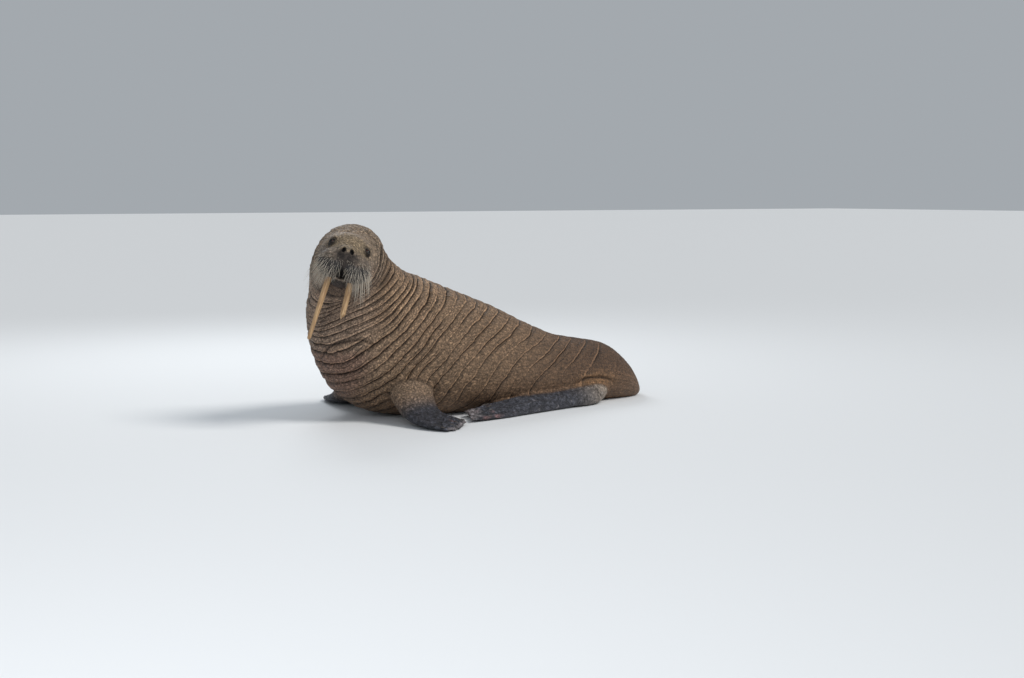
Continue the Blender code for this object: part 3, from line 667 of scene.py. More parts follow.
@dataclass
class Head:
    """The head with its muzzle pads, lip, eyes, nostrils and ears, in its own forward, left and up."""

    at: Place = (2.210, 0.246, 1.046)
    turn: float = 64.0
    nod: float = 7.0
    tilt: float = 17.0
    core: Place = (0.045, 0.0, -0.015)
    reach: float = 0.42
    blobs: tuple[Blob, ...] = (
        Blob((0.000, 0.000, 0.030), (0.175, 0.165, 0.122), 0.05),
        Blob((-0.120, 0.000, -0.010), (0.130, 0.170, 0.150), 0.06),
        Blob((0.090, 0.000, 0.052), (0.115, 0.108, 0.076), 0.05),
        Blob((0.170, 0.000, 0.000), (0.098, 0.088, 0.068), 0.04),
        Blob((0.150, 0.000, -0.058), (0.116, 0.130, 0.088), 0.04),
        Blob((0.232, 0.000, 0.004), (0.044, 0.054, 0.038), 0.03),
        Blob((0.020, 0.088, -0.052), (0.128, 0.082, 0.100), 0.05),
        Blob((0.104, 0.090, 0.054), (0.046, 0.034, 0.034), 0.025),
    )
    pad: Blob = Blob((0.180, 0.068, -0.070), (0.098, 0.092, 0.094), 0.016)
    jaw: Blob = Blob((0.085, 0.0, -0.152), (0.142, 0.074, 0.054), 0.010)
    eye_left: float = 0.117
    eye_up: float = 0.054
    eye_sink: float = 0.60
    eye_radius: float = 0.0195
    eye_look: Place = (0.68, 0.70, 0.22)
    eye_room: float = 0.09
    lid_width: float = 1.18
    lid_height: float = 0.38
    lid_slant: float = 38.0
    lid_radius: float = 1.16
    opening_depth: float = 0.024
    orbit_size: Span = (2.0, 1.25)
    bag_depth: float = 0.0035
    brow_width: float = 2.2
    brow_height: float = 0.0080
    lid_crease_depth: float = 0.0012
    nostril: Place = (0.270, 0.025, 0.018)
    nostril_size: Span = (0.0115, 0.0160)
    nostril_lean: float = 24.0
    nostril_depth: float = 0.022
    nostril_room: float = 0.050
    nostril_rim_height: float = 0.0035
    mouth: Place = (0.222, 0.0, -0.122)
    mouth_size: Place = (0.060, 0.038, 0.034)
    mouth_depth: float = 0.030
    mouth_parting: float = 0.031
    lip: Place = (0.216, 0.0, -0.157)
    ear: Place = (0.058, 0.152, 0.020)
    ear_depth: float = 0.010
    ripple_middle: Place = (0.255, 0.0, 0.010)
    ripple_rate: float = 430.0
    ripple_height: float = 0.0013
    waver_scale: float = 22.0
    axes: Array = field(init=False)

    def __post_init__(self) -> None:
        """Works out the rows that turn the head's own axes into the body's."""
        turn, nod, tilt = (math.radians(value) for value in (self.turn, self.nod, self.tilt))
        forward = np.array([math.cos(turn) * math.cos(nod), math.sin(turn) * math.cos(nod), math.sin(nod)])
        level = np.array([-math.sin(turn), math.cos(turn), 0.0])
        upright = np.cross(forward, level)
        left = level * math.cos(tilt) - upright * math.sin(tilt)
        up = upright * math.cos(tilt) + level * math.sin(tilt)
        self.axes = np.stack([forward, left, up])

    def outward(self, points: Any) -> Array:
        """Turns points of the head's own axes into the body's forward, left and up."""
        return np.asarray(self.at) + np.asarray(points, float) @ self.axes

    def inward(self, points: Array) -> Array:
        """Turns the body's forward, left and up into the head's own."""
        return (points - np.asarray(self.at)) @ self.axes.T

    def skull_distance(self, points: Array) -> Array:
        """About how far points lie outside the head without its pads and lip."""
        mirror = points * Side.RIGHT.flip
        found = np.full(points.shape[:-1], 1.0)
        for blob in self.blobs:
            for here in (points, mirror) if blob.middle[1] else (points,):
                found = smooth_union(found, blob_distance(here, blob.middle, blob.size), blob.blend)
        return found

    def pad_distance(self, points: Array) -> Array:
        """About how far points lie outside the nearer whisker pad, which is heavier below."""
        folded = points * np.array([1.0, 0.0, 1.0]) + np.abs(points) * np.array([0.0, 1.0, 0.0])
        low = ease(0.2, -0.8, (folded[..., 2] - self.pad.middle[2]) / self.pad.size[2])
        size = np.array(self.pad.size) * (1 + low[..., None] * np.array((0.06, 0.10, 0.0)))
        parting = self.mouth_parting * ease(-0.078, -0.108, folded[..., 2])
        return np.maximum(blob_distance(folded, self.pad.middle, size), parting - folded[..., 1])

    def jaw_distance(self, points: Array) -> Array:
        """About how far points lie outside the lower jaw and lip."""
        return blob_distance(points, self.jaw.middle, self.jaw.size)

    def distance(self, points: Array) -> Array:
        """About how far points lie outside the whole head."""
        found = smooth_union(self.skull_distance(points), self.pad_distance(points), self.pad.blend)
        return smooth_union(found, self.jaw_distance(points), self.jaw.blend)

    def settle(self, points: Array, rounds: int = 3) -> Array:
        """Draws points onto the head's skin along the way that it slopes."""
        small = TINY / 10
        steps = np.eye(3) * small
        for _ in range(rounds):
            here = self.distance(points)
            rises = [self.distance(points + step) - self.distance(points - step) for step in steps]
            slope = np.stack(rises, axis=-1) / (2 * small)
            size = np.maximum(np.sum(slope * slope, axis=-1, keepdims=True), LEAST_SLOPE)
            points = points - slope / size * here[..., None]
        return points

    def form(self, rings: int = 90, sides: int = 140) -> Form:
        """The whole head as one closed shape."""
        ball = ball_form(rings, sides)
        points = self.surface(self.distance, np.asarray(self.core), ball.points)
        return Form(placed(self.outward(points)), ball.faces)

    def surface(self, distance: Callable[[Array], Array], start: Array, ways: Array) -> Array:
        """Finds the skin by halving.

        Args:
            distance: How far points lie outside the form.
            start: A point inside it.
            ways: The directions in which the skin is looked for.

        Returns:
            The point of the skin in each direction.
        """
        near = np.zeros(len(ways))
        far = np.full(len(ways), self.reach)
        for _ in range(HALVINGS):
            middle = (near + far) / 2
            inside = distance(start + ways * middle[:, None]) < 0
            near = np.where(inside, middle, near)
            far = np.where(inside, far, middle)
        return start + ways * near[:, None]

    def eye_axes(self, side: Side) -> tuple[Array, Array, Array]:
        """The way an eye looks, its width and its height, as directions of the head's own axes."""
        look = unit(np.array(self.eye_look) * side.flip)
        across = unit(np.cross(look, UP))
        return look, across, np.cross(across, look)

    def eye_middle(self, side: Side) -> Array:
        """The middle of an eyeball, set a little under the skin."""
        start = np.array([0.0, self.eye_left, self.eye_up])
        skin = self.surface(self.skull_distance, start, np.array([[1.0, 0.0, 0.0]]))[0] * side.flip
        return skin - self.eye_axes(side)[0] * self.eye_radius * self.eye_sink

    def sculpt(self, points: Array) -> tuple[Array, Array]:
        """Presses eyes, nostrils, mouth, ears and folds into the head's skin, and works out the painted
        shade in its hollows.

        Args:
            points: Points of the skin, in the head's own axes.

        Returns:
            How each point moves, and how strong the painted shade of its hollow is, from 0 to 1.
        """
        move = np.zeros_like(points)
        dark = np.zeros(len(points))
        for side in Side:
            for part in (self.sculpt_eye, self.sculpt_nostril, self.sculpt_ear):
                moved, hollow = part(points, side)
                move += moved
                dark = np.maximum(dark, hollow)
        deep = norm((points - np.array(self.mouth)) / np.array(self.mouth_size))
        cavity = ease(1.15, 0.45, deep)
        move += cavity[:, None] * np.array([-self.mouth_depth, 0, 0.004])
        # painted shade in the mouth between the pads
        dark = np.maximum(dark, DEEPEST_SHADE * ease(1.30, 0.75, deep))
        offset = (points - np.array(self.ripple_middle)) * np.array((1.0, 0.85, 1.1))
        from_nose = norm(offset)
        on_brow = ease(-0.01, 0.03, points[:, 2]) * ease(0.045, 0.06, from_nose)
        on_brow *= ease(0.22, 0.16, from_nose)
        waver = 2.88 * rough_noise(points * self.waver_scale, Noise.BROW, 2)
        ripple = np.sin(from_nose * self.ripple_rate + waver)
        move[:, 2] += self.ripple_height * ripple * on_brow
        # painted shade in the troughs of the brow ripples
        dark = np.maximum(dark, 0.34 * on_brow * np.clip(-ripple, 0, 1) ** 2)
        return move, np.clip(dark, 0, 1)

    def sculpt_eye(self, points: Array, side: Side) -> tuple[Array, Array]:
        """Opens the lids of one eye, with its brow and bags, and painted shade in the socket, in the bags
        and at the lid opening.
        """
        look, across, upward = self.eye_axes(side)
        offset = points - self.eye_middle(side)
        near = norm(offset) < self.eye_room
        x = -side.value * (offset @ across) / self.eye_radius
        y = offset @ upward / self.eye_radius
        slant = math.radians(self.lid_slant)
        long_way = x * math.cos(slant) - y * math.sin(slant)
        short_way = x * math.sin(slant) + y * math.cos(slant)
        ring = np.hypot(long_way / self.lid_width, short_way / self.lid_height)
        orbit = np.hypot(long_way / self.orbit_size[0], short_way / self.orbit_size[1])
        front = np.sqrt(np.clip(self.lid_radius**2 - x**2 - y**2, 0, None)) * self.eye_radius
        lid = np.maximum(front - offset @ look, 0) * ease(1.25, 1.0, np.hypot(x, y))
        opened = ease(1.12, 0.88, ring)
        bags = bell(orbit, 1.0, 0.12) + 0.6 * bell(orbit, 1.40, 0.11)
        brow = self.brow_height * bell(y, 1.9, 0.6) * bell(x, 0.0, self.brow_width)
        push = lid * (1 - opened) - self.opening_depth * opened + brow - self.bag_depth * bags
        push -= self.lid_crease_depth * bell(ring, 2.0, 0.28)
        # painted shade in the socket round the eye and in the grooves of the bags
        shade = np.maximum(0.94 * ease(1.25, 0.62, orbit), 0.40 * bags)
        # painted shade at the lid opening
        shade = np.maximum(shade, ease(1.35, 1.05, ring))
        return np.where(near, push, 0)[:, None] * look, np.where(near, shade, 0)

    def sculpt_nostril(self, points: Array, side: Side) -> tuple[Array, Array]:
        """Opens one nostril, a slanted hollow with a soft rim and painted shade inside."""
        offset = points - np.array(self.nostril) * side.flip
        lean = math.radians(self.nostril_lean) * side.value
        a = (offset[:, 1] * math.cos(lean) + offset[:, 2] * math.sin(lean)) / self.nostril_size[0]
        b = (offset[:, 2] * math.cos(lean) - offset[:, 1] * math.sin(lean)) / self.nostril_size[1]
        slit = np.hypot(a, b)
        front = norm(offset) < self.nostril_room
        rim = self.nostril_rim_height * bell(slit, 1.5, 0.33)
        push = rim - ease(1.15, 0.50, slit) * self.nostril_depth
        # painted shade inside the nostril
        shade = np.where(front, ease(1.35, 0.85, slit), 0)
        return np.where(front, push, 0)[:, None] * np.array((0.93, 0.0, 0.36)), shade

    def sculpt_ear(self, points: Array, side: Side) -> tuple[Array, Array]:
        """Opens one small ear hole, with painted shade in it."""
        offset = points - np.array(self.ear) * side.flip
        hole = norm(offset * np.array((1.3, 0.8, 0.8)))
        push = -self.ear_depth * ease(0.010, 0.003, hole)
        # the second value is the painted shade in the ear hole
        return push[:, None] * side.flip * np.array([0, 1, 0]), ease(0.012, 0.004, hole)


@dataclass(frozen=True)
class Fold:
    """A single deep fold of the skin, along places given as forward, left and up, with painted shade along
    its groove.
    """

    places: tuple[Place, ...]
    depth: float
    width: float
    both_sides: bool = False
    bank_width: float = 0.9
    bank_share: float = 0.35
    shade_width: float = 0.75
    room: float = 5.0
    stops: int = 80

    def press(self, points: Array) -> tuple[Array, Array]:
        """Works out what the fold does to the skin.

        Args:
            points: Points of the skin.

        Returns:
            The skin's height for each point, and how strong the painted shade of the fold is there, from 0
            to 1.
        """
        height = np.zeros(len(points))
        dark = np.zeros(len(points))
        line = spline(self.places, np.linspace(0, len(self.places) - 1, self.stops))
        for side in Side if self.both_sides else (Side.LEFT,):
            here = line * side.flip
            apart = np.full(len(points), 9.0)
            share = np.zeros(len(points))
            room = self.room * self.width
            inside = np.all((points > here.min(axis=0) - room) & (points < here.max(axis=0) + room), axis=1)
            close = np.where(inside)[0]
            gaps = np.linalg.norm(points[close][:, None, :] - here[None, :, :], axis=2)
            nearest = np.argmin(gaps, axis=1)
            apart[close] = gaps[np.arange(len(close)), nearest]
            share[close] = nearest / (len(line) - 1)
            faded = np.sqrt(np.sin(math.pi * np.clip(share, *FOLD_ENDS)))
            apart = apart / self.width
            banks = bell(apart, 2.2, self.bank_width)
            height += self.depth * faded * (self.bank_share * banks - bell(apart, 0.0, 1.0))
            # painted shade along the groove of the fold
            dark = np.maximum(dark, faded * bell(apart, 0.0, self.shade_width))
        return height, dark


FOLDS = (
    Fold(
        ((2.325, 0.306, 0.807), (2.349, 0.269, 0.775), (2.367, 0.205, 0.734), (2.362, 0.150, 0.700)),
        0.007,
        0.0055,
    ),
    Fold(
        (
            (2.276, 0.316, 0.781), (2.305, 0.261, 0.723), (2.323, 0.197, 0.682), (2.337, 0.138, 0.647),
            (2.330, 0.090, 0.620),
        ),
        0.009,
        0.0065,
    ),
    Fold(
        (
            (2.245, 0.290, 0.690), (2.264, 0.245, 0.664), (2.293, 0.205, 0.644), (2.320, 0.144, 0.616),
            (2.327, 0.069, 0.560),
        ),
        0.007,
        0.0060,
    ),
    Fold(
        (
            (2.290, -0.010, 0.370), (2.295, 0.039, 0.403), (2.298, 0.108, 0.454), (2.285, 0.155, 0.489),
            (2.254, 0.219, 0.512), (2.210, 0.271, 0.526), (2.162, 0.314, 0.533), (2.119, 0.339, 0.521),
            (2.040, 0.370, 0.490),
        ),
        0.016,
        0.0100,
    ),
    Fold(
        (
            (0.538, 0.335, 0.149), (0.489, 0.336, 0.174), (0.423, 0.325, 0.182), (0.330, 0.311, 0.178),
            (0.255, 0.302, 0.162), (0.195, 0.290, 0.135),
        ),
        0.013,
        0.0095,
        both_sides=True,
    ),
    Fold(
        (
            (0.485, 0.330, 0.152), (0.418, 0.317, 0.139), (0.408, 0.374, 0.117), (0.389, 0.396, 0.084),
            (0.348, 0.374, 0.037),
        ),
        0.008,
        0.0070,
        both_sides=True,
    ),
    Fold(
        (
            (2.175, 0.144, 1.219), (2.139, 0.170, 1.213), (2.109, 0.194, 1.201), (2.090, 0.238, 1.164),
            (2.115, 0.330, 1.140), (2.121, 0.396, 1.095), (2.100, 0.381, 1.051),
        ),
        0.006,
        0.0065,
    ),
)


@dataclass(frozen=True)
class LimbRow:
    """One section across a limb: its middle, half sizes and roll in degrees."""

    middle: Place
    half_width: float
    half_depth: float
    roll: float


@dataclass
class Limb:
    """A flipper with its digits as ridges, whose rows run from inside the body to the fringe."""

    name: str
    rows: tuple[LimbRow, ...]
    digits_from: float
    ridge: float
    scallop: float
    claw_length: float
    lengths: tuple[float, ...]
    paleness: float
    digits: int = 5
    claw_at: float = 0.925
    claw_width: float = 0.30

    def digit_height(self, across: Array) -> Array:
        """How much of a digit's ridge stands over each place across the flipper, from 0 to 1."""
        return 0.5 + 0.5 * np.cos(across * math.pi * (self.digits - 1))

    def points(self, at: Any, angle: Any, side: Side) -> Array:
        """Finds points of the flipper.

        Args:
            at: Shares of its length.
            angle: Angles round its section.
            side: Which side of the animal it is on.

        Returns:
            The points, as forward, left and up.
        """
        at, angle = np.broadcast_arrays(np.asarray(at, float), np.asarray(angle, float))
        across = np.cos(angle)
        place = (across + 1) / 2 * (self.digits - 1)
        reach = spline(np.array(self.lengths)[:, None], place)[..., 0]
        on_digit = self.digit_height(across)
        webbed = 1 - self.scallop * (1 - on_digit)
        spread = ease(self.digits_from, 1.0, at)
        rows = [(*row.middle, row.half_width, row.half_depth, row.roll) for row in self.rows]
        count = len(rows) - 1
        stretched = at * (1 + (reach * webbed - 1) * spread) * count
        row = spline(rows, stretched)
        along = unit(spline(rows, stretched + TINY)[..., :3] - spline(rows, stretched - TINY)[..., :3])
        level = unit(np.cross(np.broadcast_to(UP, along.shape), along))
        normal = np.cross(along, level)
        roll = np.radians(row[..., 5:6])
        wide = level * np.cos(roll) + normal * np.sin(roll)
        thick = normal * np.cos(roll) - level * np.sin(roll)
        ridge = 1 + self.ridge * (on_digit - 0.5) * ease(self.digits_from, 0.8, at)
        deep = np.sign(np.sin(angle)) * np.abs(np.sin(angle)) ** 0.85
        tip = np.sqrt(np.clip(1 - ease(0.90, 1.02, at) ** 2, 0, 1))
        points = row[..., :3] + wide * (row[..., 3] * across)[..., None]
        points = points + thick * (row[..., 4] * ridge * tip * deep)[..., None]
        points[..., 2] = np.maximum(points[..., 2], FLOOR)
        return points * side.flip

    def form(self, side: Side, rings: int = 110, sides: int = 120) -> Form:
        """The flipper as a closed shape."""
        at = np.linspace(0, 1, rings)[:, None]
        return tube_form(placed(self.points(at, full_circle(sides)[None, :], side)))

    def reach(self, points: Array, side: Side, rings: int = 70, sides: int = 60) -> tuple[Array, Array]:
        """Finds where on the flipper points lie.

        Args:
            points: Points as forward, left and up.
            side: Which flipper of the pair is meant.
            rings: How finely the flipper is sampled along.
            sides: How finely it is sampled round.

        Returns:
            How far along it each lies, from 0 to 1, and how far from its skin.
        """
        stops = np.linspace(0, 1, rings)
        grid = self.points(stops[:, None], full_circle(sides)[None, :], side).reshape(-1, 3)
        found, apart = nearest_rows(grid, points)
        return stops[found // sides], apart

    def claw_forms(self, side: Side) -> list[Form]:
        """The small nails that lie along the digits."""
        forms: list[Form] = []
        for digit in range(self.digits):
            angle = math.acos((2 * digit / (self.digits - 1) - 1) * 0.96)
            root = self.points(self.claw_at, angle, side)
            ahead = unit(root - self.points(0.86, angle, side))
            forms.append(self.claw_form(root, ahead))
        return forms

    def claw_form(self, root: Array, ahead: Array, rings: int = 9, sides: int = 14) -> Form:
        """One nail.

        Args:
            root: The middle of its length, on the digit.
            ahead: The way that it points.
            rings: How finely it is made along.
            sides: How finely it is made round.

        Returns:
            The nail as a closed shape that stays above the floor.
        """
        across = unit(np.cross(UP, ahead))
        turn = full_circle(sides)[:, None]
        made = []
        for share in np.linspace(0, 1, rings):
            stop = -0.9 * (1 - 2 * share)
            rise = 0.10 - 0.22 * max(stop, 0) ** 2
            middle = root + (ahead * stop + UP * rise) * self.claw_length
            taper = math.sqrt(max(1 - share**CLAW_POWER, BLUNT)) * between((0.75, 1.0), share)
            radius = self.claw_width * self.claw_length * taper
            made.append(middle + (across * np.cos(turn) + UP * np.sin(turn) * 0.7) * radius)
        points = np.array(made)
        points[..., 2] = np.maximum(points[..., 2], FLOOR)
        return tube_form(placed(points))


FORE_FLIPPER = Limb(
    "fore_flipper",
    (
        LimbRow((1.800, 0.220, 0.300), 0.150, 0.120, 0),
        LimbRow((1.830, 0.350, 0.205), 0.140, 0.100, 0),
        LimbRow((1.840, 0.450, 0.115), 0.128, 0.070, 0),
        LimbRow((1.830, 0.540, 0.060), 0.132, 0.048, 0),
        LimbRow((1.800, 0.640, 0.036), 0.148, 0.035, 0),
        LimbRow((1.760, 0.735, 0.024), 0.156, 0.024, 0),
        LimbRow((1.715, 0.820, 0.013), 0.140, 0.013, 0),
    ),
    digits_from=0.52,
    ridge=0.55,
    scallop=0.035,
    claw_length=0.016,
    lengths=(0.97, 1.0, 0.97, 0.93, 0.88),
    paleness=0.12,
)

HIND_FLIPPER = Limb(
    "hind_flipper",
    (
        LimbRow((0.310, 0.080, 0.100), 0.060, 0.066, 0),
        LimbRow((0.275, 0.186, 0.092), 0.066, 0.068, -8),
        LimbRow((0.335, 0.278, 0.078), 0.070, 0.067, -16),
        LimbRow((0.450, 0.338, 0.068), 0.074, 0.062, -20),
        LimbRow((0.640, 0.362, 0.060), 0.074, 0.050, -24),
        LimbRow((0.860, 0.390, 0.056), 0.090, 0.041, -24),
        LimbRow((1.080, 0.428, 0.046), 0.104, 0.035, -15),
        LimbRow((1.300, 0.470, 0.034), 0.118, 0.027, -7),
        LimbRow((1.575, 0.520, 0.025), 0.116, 0.021, -1),
    ),
    digits_from=0.50,
    ridge=1.05,
    scallop=0.030,
    claw_length=0.018,
    lengths=(0.93, 0.94, 0.955, 0.975, 1.0),
    paleness=0.85,
)


@dataclass
class Tail:
    """The short flat tail between the hind flippers."""

    root: Place = (-0.115, 0.0, 0.105)
    way: Place = (-1.0, 0.0, -0.55)
    length: float = 0.085
    buried: float = 0.7
    half_width: float = 0.034
    half_depth: float = 0.014

    def form(self, rings: int = 24, sides: int = 40) -> Form:
        """The tail as a closed shape."""
        along = unit(np.array(self.way))
        side = np.array([0.0, 1.0, 0.0])
        thick = np.cross(along, side)
        turn = full_circle(sides)[:, None]
        spread = side * np.cos(turn) * self.half_width + thick * np.sin(turn) * self.half_depth
        made = []
        for stop in np.linspace(-self.buried, 1.0, rings):
            share = math.sqrt(max(1 - max(stop, 0) ** TAIL_POWER, BLUNT))
            made.append(np.array(self.root) + along * stop * self.length + spread * share)
        return tube_form(placed(np.array(made)))


@dataclass
class Tusk:
    """One tusk, gently bowed back, oval in section and rounded at its tip."""

    side: Side
    length: float
    tip_radius: float
    root: Place = (0.168, 0.066, -0.085)
    radius: float = 0.0265
    bow: float = 0.030
    rake: float = 0.03
    splay: float = 0.012
    flatness: float = 0.80
    whole_length: float = 0.475
    broken: bool = False
    wide_ribs: tuple[int, float] = (5, 0.018)
    fine_ribs: tuple[int, float] = (11, 0.010)
    chip: float = 0.010

    def form(self, head: Head, stops: int = 60, sides: int = 48) -> Form:
        """Makes the tusk, with a chipped end where it is broken.

        Args:
            head: The head that it grows in.
            stops: How finely it is made along, with the rings closer at the tip.
            sides: How finely it is made round.

        Returns:
            The tusk as a closed shape.
        """
        rings = []
        turn = full_circle(sides)
        for stop in 1 - (1 - np.linspace(0, 1, stops)) ** 1.6:
            bow = self.bow * math.sin(math.pi * min(stop * self.length / self.whole_length, 1.0))
            middle = np.array(
                [
                    self.root[0] + bow + self.rake * stop * self.length,
                    self.side.value * (self.root[1] + self.splay * stop),
                    self.root[2] - self.length * stop,
                ]
            )
            radius = self.radius + (self.tip_radius - self.radius) * stop
            near_tip = max(0.0, (stop * self.length - (self.length - radius)) / radius)
            radius *= math.sqrt(max(0.0, 1 - min(near_tip, NEARLY_TIP) ** 2))
            wide = self.wide_ribs[1] * np.sin(self.wide_ribs[0] * turn + 2 * stop)
            ribbed = radius * (1 + wide + self.fine_ribs[1] * np.sin(self.fine_ribs[0] * turn))
            section = [np.cos(turn) * ribbed, np.sin(turn) * ribbed * self.flatness, 0 * turn]
            ring = middle + np.stack(section, axis=1)
            if self.broken:
                jagged = np.cos(turn - 0.8) + 0.4 * np.sin(3 * turn)
                ring[:, 2] += self.chip * ease(0.90, 1.0, stop) * jagged
            rings.append(ring)
        return tube_form(placed(head.outward(np.array(rings))))


class Value:
    """A shader socket that takes part in sums: each operator adds a Math node."""

    def __init__(self, tree: bpy.types.NodeTree, socket: bpy.types.NodeSocket) -> None:
        """Wraps a socket of a node tree."""
        self.tree = tree
        self.socket = socket

    def _maths(self, operation: str, *values: Any) -> Value:
        """Adds a Math node that works on sockets and numbers in order."""
        node = self.tree.nodes.new("ShaderNodeMath")
        node.operation = operation
        for slot, value in zip(node.inputs, values):
            if isinstance(value, Value):
                self.tree.links.new(value.socket, slot)
            else:
                slot.default_value = value
        return Value(self.tree, node.outputs[0])

    def __add__(self, other: Any) -> Value:
        """The sum."""
        return self._maths("ADD", self, other)

    def __radd__(self, other: Any) -> Value:
        """The sum, from the right."""
        return self._maths("ADD", other, self)

    def __sub__(self, other: Any) -> Value:
        """The difference."""
        return self._maths("SUBTRACT", self, other)

    def __rsub__(self, other: Any) -> Value:
        """The difference, from the right."""
        return self._maths("SUBTRACT", other, self)

    def __mul__(self, other: Any) -> Value:
        """The product."""
        return self._maths("MULTIPLY", self, other)

    def __rmul__(self, other: Any) -> Value:
        """The product, from the right."""
        return self._maths("MULTIPLY", other, self)

    def __abs__(self) -> Value:
        """The value without its sign."""
        return self._maths("ABSOLUTE", self)

    def fraction(self) -> Value:
        """The part after the point."""
        return self._maths("FRACT", self)


@dataclass(frozen=True)
class Grain:
    """A kind of random grain, with its cells per metre and the range that is stretched to 0 and 1."""

    scale: float
    detail: float
    rough: float
    span: Span = (0.0, 1.0)


class Finish:
    """A material under construction, with one method for each kind of step."""

    def __init__(self, name: str) -> None:
        """Makes an empty material with a Principled shader.

        Args:
            name: The material's name.
        """
        self.material = bpy.data.materials.new(name)
        self.material.use_nodes = True
        self.tree = self.material.node_tree
        self.shader = self.tree.nodes["Principled BSDF"]

    def node(self, kind: str, settings: dict[str, Any], values: dict[Any, Any], output: Any = 0) -> Value:
        """Adds a node.

        Args:
            kind: The node's type.
            settings: What is set on the node itself.
            values: Numbers or links for its sockets, by name or number.
            output: Which of its outputs is wanted.

        Returns:
            That output.
        """
        node = self.tree.nodes.new(kind)
        for key, value in settings.items():
            setattr(node, key, value)
        for key, value in values.items():
            self.feed(node.inputs[key], value)
        return Value(self.tree, node.outputs[output])

    def feed(self, socket: bpy.types.NodeSocket, value: Any) -> None:
        """Links a value to a socket, or sets it there."""
        if isinstance(value, Value):
            self.tree.links.new(value.socket, socket)
        else:
            socket.default_value = value

    def set(self, **values: Any) -> None:
        """Feeds the Principled shader's sockets, whose names are given with _ for each space."""
        for key, value in values.items():
            self.feed(self.shader.inputs[key.replace("_", " ")], value)

    def attribute(self, name: str, output: str = "Fac") -> Value:
        """Reads a value that the mesh carries."""
        return self.node("ShaderNodeAttribute", {"attribute_name": name}, {}, output)

    def noise(self, grain: Grain, vector: Value | None = None) -> Value:
        """Smooth noise from 0 to 1, by the place on the object unless a vector is given."""
        where = vector if vector is not None else self.node("ShaderNodeTexCoord", {}, {}, "Object")
        values = {"Vector": where, "Scale": grain.scale, "Detail": grain.detail, "Roughness": grain.rough}
        return self.node("ShaderNodeTexNoise", {}, values, "Fac")

    def grain(self, grain: Grain, vector: Value | None = None) -> Value:
        """Noise with its range stretched."""
        return self.ramp(self.noise(grain, vector), *grain.span)

    def cells(self, scale: float, vector: Value) -> Value:
        """The distance to the nearest edge of irregular cells."""
        settings = {"feature": "DISTANCE_TO_EDGE"}
        return self.node("ShaderNodeTexVoronoi", settings, {"Vector": vector, "Scale": scale}, "Distance")

    def ramp(self, value: Value, low: float, high: float) -> Value:
        """Stretches a range of a value to 0 and 1."""
        values = {"Value": value, "From Min": low, "From Max": high}
        return self.node("ShaderNodeMapRange", {"clamp": True}, values, "Result")

    def mix(self, factor: Any, first: Any, second: Any, blend: str = "MIX") -> Value:
        """Mixes two colours."""
        settings = {"data_type": "RGBA", "blend_type": blend}
        sockets = {0: factor, 6: self.colour(first), 7: self.colour(second)}
        return self.node("ShaderNodeMix", settings, sockets, 2)

    @staticmethod
    def colour(value: Any) -> Any:
        """A colour as a socket takes it, with its fourth number."""
        return (*value, 1.0) if isinstance(value, tuple) and len(value) == 3 else value

    def bump(self, height: Value, distance: float, strength: float, normal: Value | None = None) -> Value:
        """Turns heights into a normal."""
        values: dict[Any, Any] = {"Height": height, "Distance": distance, "Strength": strength}
        if normal is not None:
            values["Normal"] = normal
        return self.node("ShaderNodeBump", {}, values, "Normal")


